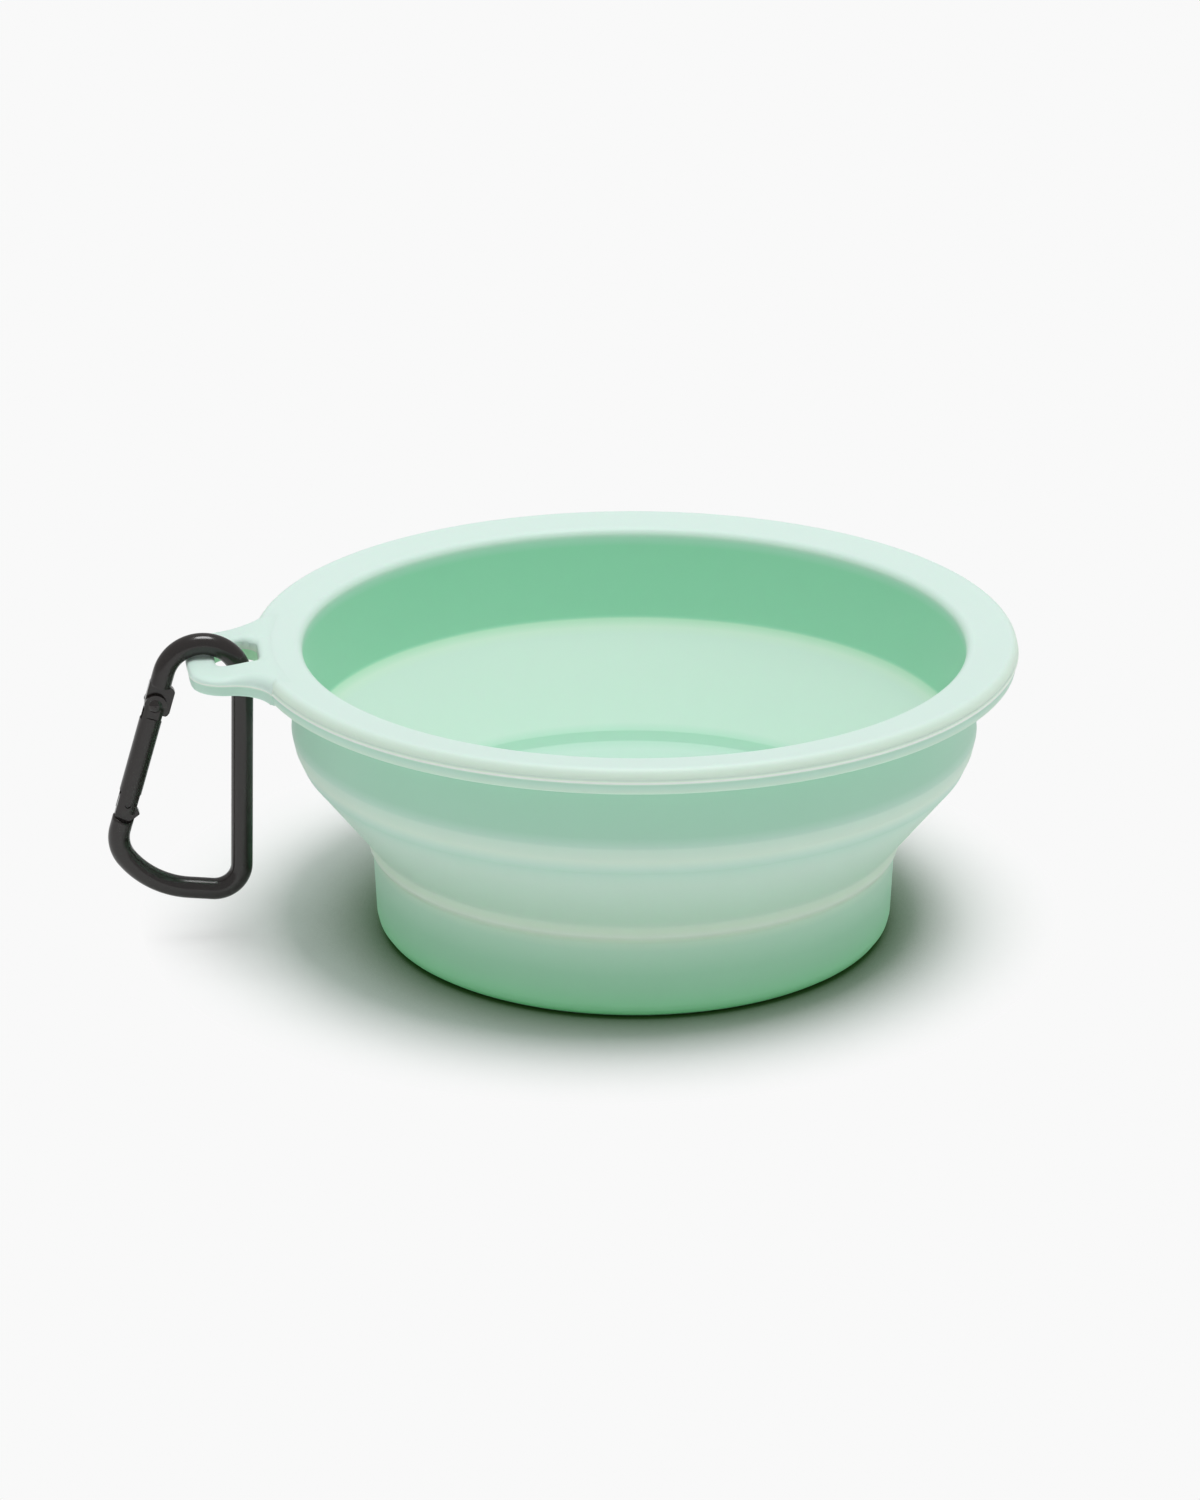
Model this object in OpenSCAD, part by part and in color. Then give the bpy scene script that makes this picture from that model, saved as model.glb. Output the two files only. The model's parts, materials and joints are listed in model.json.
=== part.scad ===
// Collapsible silicone bowl with a hanging ear and a snap carabiner.
// Millimetres, +Z up. The origin is the centre of the base's underside, on the table.
// The ear points along -X. Every angle is in degrees.

/* [Rim] */
// Radius of the rim at its parting line
rim_r = 65; // [62:0.5:68]
// Width of the rim, from its edge to the opening
rim_w = 8.8; // [7.5:0.1:10]
// Height of the rim's crown above its parting line
rim_top_h = 2.2; // [1.8:0.1:3]
// How far the rim's top falls from its crown to the opening
rim_fall = 0.8; // [0.2:0.1:1.2]
// Depth of the rim's edge below its parting line
rim_under_h = 2; // [1.6:0.1:2.6]
// Width of the rim's rounded outer edge
rim_edge_w = 1.5; // [1:0.1:3]
// How far the rim's lower edge is drawn in
rim_draft = 0.4; // [0.1:0.1:0.6]
// Radius of the rounded inner lip
lip_round = 1.4; // [0.8:0.1:2.5]

/* [Upper wall] */
// Height of the upper wall, from the upper fold to the rim's parting line
upper_wall_h = 13.9; // [12:0.1:18]
// Thickness of the upper wall under the rim
upper_wall_t = 1.1; // [1:0.1:1.8]
// How much the upper wall swells out towards the upper fold
upper_flare = 1; // [0.2:0.1:1.4]
// How far the upper wall's inside draws in, down to the upper fold
upper_draft = 0.7; // [0.3:0.1:0.9]
// Height of the upper fold
upper_fold_h = 5.7; // [5:0.1:6.5]

/* [Middle wall] */
// Height of the middle wall's outside
middle_h = 13.6; // [12:0.1:16]
// How much narrower the base is than the upper opening
middle_w = 10.2; // [9:0.1:13]
// Height of the middle wall measured straight up through it
middle_rise = 3.5; // [3:0.1:3.8]
// Thickness of the wall at the groove under the upper fold
groove_t = 0.8; // [0.6:0.05:1.2]
// Clearance between the three walls that slide past each other
fold_gap = 0.3; // [0.2:0.05:0.4]

/* [Base] */
// Height of the base wall, up to the lower fold
base_wall_h = 14.6; // [13:0.1:18]
// Height of the lower fold's bead
bead_h = 2.4; // [1.8:0.1:3]
// How far the lower fold's bead stands out
bead_w = 0.4; // [0.2:0.05:0.6]
// How far the base wall draws in towards the table
base_draft = 0.6; // [0.2:0.1:1.2]
// Thickness of the base wall
base_wall_t = 1.9; // [1.5:0.1:2.4]
// Height of the base's upright inside, under the lower fold
base_lip_h = 1.4; // [1:0.1:2]
// How far the base's inside slopes in below that, down to the floor
base_slope_w = 10; // [8:0.5:14]
// Radius of the rounded foot
foot_round = 3; // [2:0.1:4]
// Thickness of the floor
floor_t = 2; // [1.5:0.1:2.6]

/* [Ear] */
// Reach of the ear past the rim
ear_reach = 10.9; // [10:0.1:13]
// Width of the ear
ear_w = 24.6; // [23:0.2:28]
// Radius of the ear's two outer corners
ear_corner_r = 6; // [4:0.1:7]
// Radius of the two necks that join the ear to the rim
ear_neck_r = 7; // [5:0.1:7.4]
// Height of the ear's crown above the parting line
ear_crown_h = 1; // [0.8:0.1:1.2]
// Width over which the ear's top edge falls away
ear_edge_w = 2.3; // [1.8:0.1:2.4]
// Length of the slot, along the rim
slot_len = 11.2; // [10:0.1:13]
// Width of the outer bar that the carabiner hangs on
bar_w = 4.8; // [4.2:0.1:5]
// Width of the slot, away from the rim
slot_w = 7.4; // [7:0.1:8]
// Radius of the slot's corners
slot_corner_r = 2.2; // [1:0.1:3]

/* [Carabiner frame] */
// Diameter of the bent rod
rod_d = 3.7; // [3.2:0.05:3.8]
// How much the rod thins in its bends
bend_thin = 0.02; // [0.01:0.01:0.1]
// Bend radius of the top arch, at the rod's middle
arch_r = 6.7; // [6.65:0.05:7]
// Play between the hanging arch and the bar's crown
hang_play = 0.4; // [0.35:0.05:0.8]
// How far the arch's middle hangs from the bar's, towards the rim
hang_shift = 0.3; // [0.1:0.05:0.35]
// Length of the straight leg
leg_len = 33.2; // [30:0.2:38]
// Bend radius between the leg and the bottom
heel_r = 4.6; // [3.5:0.1:5.5]
// How far the heel turns past a right angle
heel_extra = 5; // [0:1:10]
// Bend radius of the long bottom curve
belly_r = 15.1; // [12:0.1:18]
// How far the bottom curve turns
belly_turn = 47; // [40:1:52]
// Bend radius of the toe, under the gate
toe_r = 6.1; // [5:0.1:7]
// Lean of the gate from the leg
gate_lean = 14.9; // [13:0.1:17]
// Lean of the hanging carabiner from the vertical
hang_tilt = 1.7; // [0:0.1:3]

/* [Gate] */
// Diameter of the gate
gate_d = 3.8; // [3.7:0.05:4]
// How far the gate's axis lies outside the arch's end
gate_offset = 0; // [0:0.05:0.3]
// Distance from the arch's end to the frame's hinge shoulder
shoulder_s = 2.5; // [2:0.1:3]
// Distance from the hinge shoulder to the rivet
rivet_s = 3.2; // [3:0.1:3.6]
// Straight stretch of the rod between the toe's bend and the nose
nose_len = 1.95; // [1.5:0.05:2.2]
// Thickness of the gate across its two cheeks
cheek_t = 3.2; // [3:0.1:3.4]
// Thickness of the frame's two tongues
tongue_t = 1.5; // [1.2:0.05:1.7]
// Play between a tongue and each cheek
cheek_play = 0.2; // [0.15:0.05:0.25]
// Diameter of the hinge rivet
rivet_d = 1.4; // [1.2:0.05:1.6]
// Diameter of the rivet's heads
rivet_head_d = 2.3; // [2:0.1:2.6]
// Height of the rivet's domed heads
rivet_head_h = 0.5; // [0.3:0.05:0.6]
// Running play around a pin
pin_play = 0.03; // [0.02:0.01:0.06]

/* [Latch] */
// Diameter of the latch pin
latch_pin_d = 1; // [0.8:0.05:1.2]
// Distance from the gate's free end to the latch pin
latch_pin_s = 1.6; // [1.4:0.1:1.8]
// Play between the latch pin and its notch
latch_play = 0.25; // [0.2:0.05:0.3]
// Opening between the gate's free end and the nose shoulder
nose_show = 1.5; // [1:0.1:2]
// Height of the nose above the latch pin
nose_lip = 1.7; // [1.5:0.1:1.9]
// How far the guard point stands out past the gate
guard_out = 0.6; // [0.3:0.1:0.8]

/* [Spring] */
// Diameter of the bore that holds the spring and plunger
bore_d = 1.9; // [1.8:0.05:2]
// Diameter of the plunger
plunger_d = 1.6; // [1.4:0.05:1.7]
// Length of the plunger
plunger_len = 2.2; // [1.8:0.1:2.6]
// Diameter of the spring's wire
wire_d = 0.28; // [0.2:0.02:0.3]
// Diameter of the spring at the middle of its wire
coil_d = 1.3; // [1.2:0.05:1.4]
// Rise of the spring in one curl
coil_pitch = 0.9; // [0.8:0.05:1]
// Number of curls in the spring
curls = 8; // [6:1:10]

/* [Hidden] */
$fn = 96;
rod_facets = 56;
// Each straight stretch of the rod reaches this far into the bends beside it
rod_lap = 0.12;
arc_steps = 8;
crown_layers = 5;
mint = [0.80, 0.92, 0.87];
black = [0.16, 0.15, 0.16];
steel = [0.62, 0.62, 0.64];
// Overrun of every cut past the face that it opens
cut_over = 1;

// Heights and radii of the three walls, from the table up and from the rim in
cone_foot_z = base_wall_h + bead_h;
groove_z = cone_foot_z + middle_h;
upper_fold_z = groove_z + upper_fold_h;
rim_part_z = upper_fold_z + upper_wall_h;
opening_r = rim_r - rim_w;
upper_inner_r = opening_r - upper_draft;
groove_r = upper_inner_r + groove_t;
lower_fold_r = upper_inner_r - middle_w;
base_top_r = lower_fold_r - bead_w;
rim_under_z = rim_part_z - rim_under_h;
rim_top_z = rim_part_z + rim_top_h;
lip_top_z = rim_top_z - rim_fall;
upper_outer_r = opening_r + upper_wall_t;
upper_fold_r = upper_outer_r + upper_flare;
cone_out_r = upper_inner_r - fold_gap;
cone_in_r = lower_fold_r + fold_gap;
cone_slope = (groove_z - cone_foot_z) / (groove_r - cone_in_r);
base_foot_r = base_top_r - base_draft;
floor_r = base_foot_r - foot_round;
// Shares of the upper fold's height and overhang, down its bulging outside
fold_bulge_shares = [[1, 0], [1.02, 0.14], [0.88, 0.36], [0.62, 0.58], [0.3, 0.8], [0.06, 0.94]];
// Share of the lower fold's bead at its upper and lower ends
bead_shares = [0.2, 0.85];

// Places on the ear
ear_tip_r = rim_r + ear_reach;
ear_corner_y = ear_w / 2 - ear_corner_r;
ear_corner_a = asin(ear_corner_y / (ear_tip_r - ear_corner_r));
ear_corner_x = ear_corner_y / tan(ear_corner_a);
neck_y = ear_w / 2 + ear_neck_r;
neck_x = sqrt(pow(rim_r + ear_neck_r, 2) - pow(neck_y, 2));
slot_out_x = ear_tip_r - bar_w;
slot_in_x = slot_out_x - slot_w;
hang_x = ear_tip_r - bar_w / 2 - hang_shift;

// The carabiner is drawn flat, outwards along x and up along y, about the middle of its arch
arch_z = rim_part_z + ear_crown_h + hang_play - arch_r + rod_d / 2;
gate_perp = arch_r + gate_offset;
function dir(a) = [cos(a), sin(a)];
across = dir(gate_lean);
down_gate = dir(gate_lean - 90);
heel_turn = 90 + heel_extra;
toe_turn = 90 + gate_lean - heel_extra - belly_turn;
heel_end = [heel_r - arch_r, -leg_len] + heel_r * dir(heel_extra - 90);
belly_mid = belly_r * dir(heel_extra + 90);
toe_mid = (belly_r - toe_r) * dir(heel_extra + belly_turn - 90);
sole_len = (gate_perp - toe_r - across * (heel_end + belly_mid + toe_mid)) / (across * dir(heel_extra));
toe_end = heel_end + sole_len * dir(heel_extra) + belly_mid + toe_mid + toe_r * across;
toe_s = down_gate * toe_end;

// Places down the gate, counted from the rivet
nose_shoulder_s = toe_s - shoulder_s - rivet_s - nose_len;
gate_end_s = nose_shoulder_s - nose_show;
pin_s = gate_end_s - latch_pin_s;
gate_r = gate_d / 2;
slot_t = tongue_t + 2 * cheek_play;
// Shares of the gate's radius that shape the hinge tongue, across and down from the rivet
tongue_shares = [[0.9, 0.3], [0.45, 0.9], [-1.16, 0.9], [-1.42, 0.5], [-1.42, -1.5], [-0.9, -1.9]];
tongue_low = 0.9 * gate_r;
hinge_slot_s = 1.55 * gate_r;
flat_end_s = 1.25 * gate_r;
// Shares of the gate's radius that shape the nose around its notch
nose_tip_share = 0.85;
hook_share = 0.7;

// How far the frame's plates are rooted in its rod
plate_root = rod_d / 3;

// Places of the spring and its plunger, counted from the rivet
plunger_tip_s = tongue_low + cheek_play / 2;
plunger_end_s = plunger_tip_s + plunger_len;
spring_s = plunger_end_s + wire_d / 2;
spring_len = curls * coil_pitch;
bore_end_s = spring_s + spring_len + wire_d;
rings_per_curl = 8;
wire_sides = 6;
ring_count = curls * rings_per_curl;
coil_points = [for (i = [0 : ring_count]) coil_point(i / rings_per_curl)];
coil_gap = min([for (i = [0 : ring_count], j = [i + rings_per_curl / 2 : 1 : ring_count])
    norm(coil_points[i] - coil_points[j])]) - wire_d;
echo(str("least gap between the curls: ", coil_gap, " mm"));  // gate_spring

// One point on the middle of the spring's wire, after so many curls
function coil_point(t) = [coil_d / 2 * cos(360 * t), coil_d / 2 * sin(360 * t), t * coil_pitch];

// One ring of the wire's skin, square to the wire
function coil_ring(t) = let (
    tangent = [-PI * coil_d * sin(360 * t), PI * coil_d * cos(360 * t), coil_pitch],
    outward = [cos(360 * t), sin(360 * t), 0],
    side = cross(tangent / norm(tangent), outward)
) [for (k = [0 : wire_sides - 1])
    coil_point(t) + wire_d / 2 * (cos(360 * k / wire_sides) * outward + sin(360 * k / wire_sides) * side)];

// Points on a quarter of an ellipse, from one axis to the other
function quarter(mid, w, h, from, to) = [for (i = [0 : arc_steps])
    let (a = from + (to - from) * i / arc_steps) [mid[0] + w * cos(a), mid[1] + h * sin(a)]];

// Height of the middle wall's outer face at a radius
function cone_z(r) = cone_foot_z + (r - cone_in_r) * cone_slope;

// Section of the rim: edge, rounded top and rounded inner lip
module rim_section() {
    polygon(concat(
        [[opening_r, rim_under_z], [rim_r - rim_draft, rim_under_z]],
        quarter([rim_r - rim_edge_w, rim_part_z], rim_edge_w, rim_top_h, 0, 90),
        quarter([opening_r + lip_round, lip_top_z - lip_round], lip_round, lip_round, 90, 180)
    ));
}

// The slot in the ear, wider by an inset, as a rounded rectangle along the rim
module slot_outline(inset) {
    r = slot_corner_r + inset;
    x_mid = slot_w / 2 - slot_corner_r;
    y_mid = slot_len / 2 - slot_corner_r;
    translate([-(slot_in_x + slot_out_x) / 2, 0]) {
        square([2 * x_mid + 2 * r, 2 * y_mid], center = true);
        square([2 * x_mid, 2 * y_mid + 2 * r], center = true);
        for (sx = [-1, 1], sy = [-1, 1]) translate([sx * x_mid, sy * y_mid]) circle(r = r);
    }
}

// Outline of the ear from above, drawn in by an inset, without its slot
module ear_outline(inset) {
    half_w = ear_w / 2 - inset;
    intersection() {
        circle(r = ear_tip_r - inset);
        polygon([[0, 0], [-2 * ear_corner_x, 2 * ear_corner_y], [-2 * ear_corner_x, -2 * ear_corner_y]]);
    }
    for (side = [-1, 1]) translate([-ear_corner_x, side * ear_corner_y]) circle(r = ear_corner_r - inset);
    translate([-ear_corner_x, -half_w]) square([ear_corner_x - neck_x, 2 * half_w]);
    difference() {
        polygon([[0, 0], [-neck_x, neck_y], [-neck_x, -neck_y]]);
        for (side = [-1, 1]) translate([-neck_x, side * neck_y]) circle(r = ear_neck_r + inset);
    }
}

// One level of the ear, from one height to another
module ear_layer(z0, z1, inset) {
    translate([0, 0, z0]) linear_extrude(height = z1 - z0) difference() {
        ear_outline(inset);
        slot_outline(inset);
    }
}

// Flat drawing of the carabiner, stood up on the ear's middle plane at its hanging lean
module hang() {
    translate([-hang_x, 0, arch_z]) rotate([90, 0, 180]) rotate([0, 0, hang_tilt]) children();
}

// Things along the gate: x runs outwards across it and y runs down it from the rivet
module on_gate() {
    hang() multmatrix([
        [across[0], down_gate[0], 0, gate_perp * across[0] + (shoulder_s + rivet_s) * down_gate[0]],
        [across[1], down_gate[1], 0, gate_perp * across[1] + (shoulder_s + rivet_s) * down_gate[1]],
        [0, 0, -1, 0],
        [0, 0, 0, 1]
    ]) children();
}

// The rod's course: straight stretches and left-hand bends, each starting where the last one ended
module rod_course(steps, i = 0) {
    if (i < len(steps)) {
        run = steps[i][0];
        bend = steps[i][1];
        turn = steps[i][2];
        if (turn == 0) {
            translate([-rod_lap, 0, 0]) rotate([0, 90, 0]) cylinder(d = rod_d, h = run + 2 * rod_lap);
            translate([run, 0, 0]) rod_course(steps, i + 1);
        } else {
            translate([0, bend, 0]) rotate([0, 0, -90]) rotate_extrude(angle = turn)
                translate([bend, 0]) circle(d = rod_d - bend_thin);
            translate([bend * sin(turn), bend * (1 - cos(turn)), 0]) rotate([0, 0, turn])
                rod_course(steps, i + 1);
        }
    }
}

// A flat plate of the frame's tongue thickness, in the gate's middle plane
module tongue_plate() {
    translate([0, 0, -tongue_t / 2]) linear_extrude(height = tongue_t) children();
}

// The rim's flange, notched where the ear's slot runs into it
module rim_flange() {
    color(mint) difference() {
        rotate_extrude() rim_section();
        translate([0, 0, rim_under_z - cut_over]) linear_extrude(height = rim_top_h + rim_under_h + 2 * cut_over)
            slot_outline(0);
    }
}

// The ear, crowned on top and fitted to the flange's rounded edge
module hanging_ear() {
    color(mint) difference() {
        union() {
            ear_layer(rim_under_z, rim_part_z, 0);
            for (k = [0 : crown_layers - 1]) {
                level = (k + 0.5) / crown_layers;
                ear_layer(
                    rim_part_z + ear_crown_h * k / crown_layers,
                    rim_part_z + ear_crown_h * (k + 1) / crown_layers,
                    ear_edge_w * (1 - sqrt(1 - level * level))
                );
            }
        }
        rotate_extrude() polygon(concat(
            [[0, rim_under_z - cut_over], [rim_r - rim_draft, rim_under_z - cut_over],
                [rim_r - rim_draft, rim_under_z]],
            quarter([rim_r - rim_edge_w, rim_part_z], rim_edge_w, rim_top_h, 0, 90),
            [[0, rim_top_z]]
        ));
    }
}

// The upright wall under the rim
module upper_wall() {
    color(mint) rotate_extrude() polygon([
        [upper_inner_r, upper_fold_z],
        [upper_fold_r, upper_fold_z],
        [upper_outer_r, rim_under_z],
        [opening_r, rim_under_z]
    ]);
}

// The thick upper fold, which bulges over the groove
module upper_fold_ring() {
    bulge_w = upper_fold_r - groove_r;
    color(mint) rotate_extrude() polygon(concat(
        [[upper_inner_r, upper_fold_z]],
        [for (p = fold_bulge_shares) [groove_r + p[0] * bulge_w, upper_fold_z - p[1] * upper_fold_h]],
        [[groove_r, groove_z], [upper_inner_r, cone_z(upper_inner_r)]]
    ));
}

// The sloping wall between the two folds
module middle_wall() {
    color(mint) rotate_extrude() polygon([
        [cone_in_r, cone_z(cone_in_r)],
        [cone_out_r, cone_z(cone_out_r)],
        [cone_out_r, cone_z(cone_out_r) + middle_rise],
        [cone_in_r, cone_z(cone_in_r) + middle_rise]
    ]);
}

// The lower fold, a small bead outside and the slope's last stretch inside
module lower_fold_ring() {
    inner_r = base_top_r - base_wall_t;
    color(mint) rotate_extrude() polygon([
        [inner_r, base_wall_h],
        [base_top_r, base_wall_h],
        [base_top_r + bead_shares[1] * bead_w, base_wall_h + bead_shares[0] * bead_h],
        [lower_fold_r, base_wall_h + bead_shares[1] * bead_h],
        [lower_fold_r, cone_z(lower_fold_r) + middle_rise - fold_gap],
        [inner_r, cone_z(inner_r) + middle_rise - fold_gap]
    ]);
}

// The base's wall, upright outside down to its rounded foot and sloping inside down to the floor
module base_wall() {
    inner_top_r = base_top_r - base_wall_t;
    color(mint) rotate_extrude() polygon(concat(
        [[inner_top_r - base_slope_w, floor_t], [floor_r, floor_t]],
        quarter([floor_r, foot_round], foot_round, foot_round, -90, 0),
        [[base_top_r, base_wall_h], [inner_top_r, base_wall_h], [inner_top_r, base_wall_h - base_lip_h]]
    ));
}

// The floor that stands on the table
module base_floor() {
    color(mint) cylinder(r = floor_r, h = floor_t);
}

// The bent rod with its hinge tongue and its nose
module carabiner_frame() {
    $fn = rod_facets;
    notch_h = latch_pin_d + 2 * latch_play;
    color(black) difference() {
        union() {
            hang() translate(arch_r * across + (shoulder_s - rod_lap) * down_gate) rotate([0, 0, 90 + gate_lean])
                rod_course([
                    [shoulder_s - rod_lap, 0, 0],
                    [0, arch_r, 180 - gate_lean],
                    [leg_len, 0, 0],
                    [0, heel_r, heel_turn],
                    [sole_len, 0, 0],
                    [0, belly_r, belly_turn],
                    [0, 0, 0],
                    [0, toe_r, toe_turn],
                    [nose_len - rod_lap, 0, 0]
                ]);
            on_gate() tongue_plate() polygon(concat(
                [[gate_r * tongue_shares[0][0], -rivet_s - plate_root]],
                [for (p = tongue_shares) gate_r * p],
                [[gate_r * tongue_shares[len(tongue_shares) - 1][0], -rivet_s - plate_root]]
            ));
            on_gate() tongue_plate() difference() {
                polygon([
                    [gate_r * nose_tip_share, nose_shoulder_s + plate_root],
                    [gate_r * nose_tip_share, pin_s - nose_lip / 2],
                    [gate_r * nose_tip_share / 2, pin_s - nose_lip],
                    [-gate_r * hook_share / 2, pin_s - nose_lip],
                    [-gate_r * hook_share, pin_s - notch_h / 2 - latch_play],
                    [-gate_r * hook_share, pin_s],
                    [-gate_r, pin_s + notch_h / 2],
                    [-gate_r - guard_out, pin_s + notch_h],
                    [-gate_r * hook_share, nose_shoulder_s],
                    [-gate_r * hook_share, nose_shoulder_s + plate_root]
                ]);
                translate([-gate_d, pin_s - notch_h / 2]) square([gate_d, notch_h]);
                translate([0, pin_s]) circle(d = notch_h);
            }
        }
        on_gate() translate([0, 0, -tongue_t]) cylinder(d = rivet_d + 2 * pin_play, h = 2 * tongue_t);
    }
}

// The gate: a round rod with a cheeked end at the hinge and a slot at the latch
module carabiner_gate() {
    color(black) on_gate() difference() {
        union() {
            intersection() {
                rotate([-90, 0, 0]) cylinder(d = gate_d, h = gate_end_s);
                translate([-gate_r, 0, -gate_r]) cube([gate_d, gate_end_s, gate_d]);
            }
            intersection() {
                translate([0, 0, -cheek_t / 2]) cylinder(d = gate_d, h = cheek_t);
                translate([-gate_r, -gate_r, -gate_r]) cube([gate_d, gate_r, gate_d]);
            }
        }
        for (side = [0, 1]) mirror([0, 0, side]) translate([-gate_d, -cut_over, cheek_t / 2])
            cube([2 * gate_d, flat_end_s + cut_over, gate_r]);
        translate([-gate_d, -gate_d, -slot_t / 2]) cube([2 * gate_d, gate_d + hinge_slot_s, slot_t]);
        translate([-gate_d, pin_s - nose_lip - latch_play, -slot_t / 2])
            cube([2 * gate_d, gate_d, slot_t]);
        rotate([-90, 0, 0]) cylinder(d = bore_d, h = bore_end_s);
        translate([0, 0, -gate_d]) cylinder(d = rivet_d + 2 * pin_play, h = 2 * gate_d);
        translate([0, pin_s, -gate_d]) cylinder(d = latch_pin_d + 2 * pin_play, h = 2 * gate_d);
    }
}

// The rivet, with a low dome on each side
module hinge_rivet() {
    dome_r = (pow(rivet_head_d / 2, 2) + pow(rivet_head_h, 2)) / (2 * rivet_head_h);
    color(steel) on_gate() union() {
        translate([0, 0, -cheek_t / 2]) cylinder(d = rivet_d, h = cheek_t);
        for (side = [0, 1]) mirror([0, 0, side]) intersection() {
            translate([0, 0, cheek_t / 2 + rivet_head_h - dome_r]) sphere(r = dome_r);
            translate([0, 0, cheek_t / 2]) cylinder(d = rivet_head_d, h = rivet_head_h);
        }
    }
}

// The pin across the gate's free end, which lies in the nose's notch
module latch_pin() {
    color(steel) on_gate() translate([0, pin_s, -cheek_t / 2]) cylinder(d = latch_pin_d, h = cheek_t);
}

// The spring in the gate's bore, one unbroken wire
module gate_spring() {
    rings = [for (i = [0 : ring_count]) coil_ring(i / rings_per_curl)];
    points = [for (ring = rings) each ring];
    last = ring_count * wire_sides;
    skin = [for (i = [0 : ring_count - 1], k = [0 : wire_sides - 1]) let (
        a = i * wire_sides + k,
        b = i * wire_sides + (k + 1) % wire_sides,
        c = b + wire_sides,
        d = a + wire_sides
    ) each [[a, c, b], [a, d, c]]];
    start_cap = [for (k = [1 : wire_sides - 2]) [0, k, k + 1]];
    end_cap = [for (k = [1 : wire_sides - 2]) [last, last + k + 1, last + k]];
    color(steel) on_gate() translate([0, spring_s, 0]) rotate([-90, 0, 0])
        polyhedron(points = points, faces = concat(skin, start_cap, end_cap));
}

// The plunger that the spring pushes against the hinge tongue
module spring_plunger() {
    color(steel) on_gate() translate([0, plunger_tip_s, 0]) rotate([-90, 0, 0]) {
        translate([0, 0, plunger_d / 4]) cylinder(d = plunger_d, h = plunger_len - plunger_d / 4);
        cylinder(d1 = plunger_d / 2, d2 = plunger_d, h = plunger_d / 4);
    }
}

rim_flange();
hanging_ear();
upper_wall();
upper_fold_ring();
middle_wall();
lower_fold_ring();
base_wall();
base_floor();
carabiner_frame();
carabiner_gate();
hinge_rivet();
latch_pin();
gate_spring();
spring_plunger();
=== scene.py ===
"""Dresses a collapsible silicone bowl and its small black carabiner, and sets them on a pale studio floor.

Lengths in the tables and settings are in millimetres; meshes are in metres.
"""

import json
import math

import bpy
import numpy as np
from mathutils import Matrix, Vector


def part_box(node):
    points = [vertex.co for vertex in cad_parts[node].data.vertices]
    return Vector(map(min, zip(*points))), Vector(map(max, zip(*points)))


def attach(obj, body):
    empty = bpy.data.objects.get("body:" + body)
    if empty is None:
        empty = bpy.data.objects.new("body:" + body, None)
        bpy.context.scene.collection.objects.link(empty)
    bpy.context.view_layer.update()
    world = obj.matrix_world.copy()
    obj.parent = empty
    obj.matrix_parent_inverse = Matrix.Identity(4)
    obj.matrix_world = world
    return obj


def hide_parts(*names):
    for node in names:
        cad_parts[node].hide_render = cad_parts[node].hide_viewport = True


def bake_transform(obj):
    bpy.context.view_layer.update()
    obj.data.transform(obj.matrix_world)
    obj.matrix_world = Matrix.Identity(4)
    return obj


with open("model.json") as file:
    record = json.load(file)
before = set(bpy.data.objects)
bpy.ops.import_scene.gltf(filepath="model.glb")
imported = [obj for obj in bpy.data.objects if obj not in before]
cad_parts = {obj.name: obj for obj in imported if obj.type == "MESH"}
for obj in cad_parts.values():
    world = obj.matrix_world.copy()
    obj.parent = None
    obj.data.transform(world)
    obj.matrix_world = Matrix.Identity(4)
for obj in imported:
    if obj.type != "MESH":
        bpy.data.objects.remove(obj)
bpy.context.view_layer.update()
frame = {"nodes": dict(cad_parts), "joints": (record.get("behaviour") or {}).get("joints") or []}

bl_info = {
    "name": "Collapsible bowl",
    "version": (1, 0, 0),
    "blender": (4, 5, 0),
    "location": "3D View > Sidebar > Bowl",
    "description": "Builds the silicone bowl, its ear, its carabiner and a pale studio round them",
    "category": "Object",
}

MM = 0.001

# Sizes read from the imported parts, in millimetres
RIM_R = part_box("rim_flange")[1][0] / MM
RIM_UNDER_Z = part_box("rim_flange")[0][2] / MM
BASE_TOP_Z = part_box("base_wall")[1][2] / MM
SWING = next(j for j in frame["joints"] if j["name"] == "carabiner_swing")

# How far the rim reaches below its parting line, that line's height, and the groove under the upper fold
RIM_BELOW = 2.0
PART_Z = RIM_UNDER_Z + RIM_BELOW
GROOVE_Z = 31.35

# How finely the curved surfaces are drawn
RUN_STEP = 1.4
CORNER_STEPS = 5
SKIN_SIDES = 320
EAR_SPOTS = 400
ROD_SIDES = 40
ROD_PITCH = 0.4

# Angles in degrees past which two faces meet at a sharp edge
SKIN_SHARP = 42
EAR_SHARP = 38
ROD_SHARP = 50
PLATE_SHARP = 35
BEVEL_SHARP = 30

# The largest share of a straight run that a corner's arc may take
CORNER_SHARE = 0.48

# The skin gives way to the ear from the middle out to ROOT_SIDE, and comes back over ROOT_EASE beside it.
# Behind the ear it reaches ROOT_LAP under it, held SKIN_SINK below the rim's top, and the ear lies EAR_LIFT
# over that top. Beside the ear its limit lies ROOT_LAP and LIMIT_CLEAR past the rim and holds nothing back.
ROOT_SIDE = 14.2
ROOT_EASE = 2.2
ROOT_LAP = 0.3
LIMIT_CLEAR = 0.7
SKIN_SINK = 0.03
EAR_LIFT = 0.006

# The underside, up to this height and out to this radius, gets none of the painted green glow
UNDERSIDE_H = 0.5
UNDERSIDE_R = 43.0

# The ear's thin ridge, the step down over it, and the dip into the slot
RIDGE_H = 0.32
RIDGE_DROP = 0.24
SLOT_DIP_H = 0.5
SLOT_DIP_W = 0.9

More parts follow.
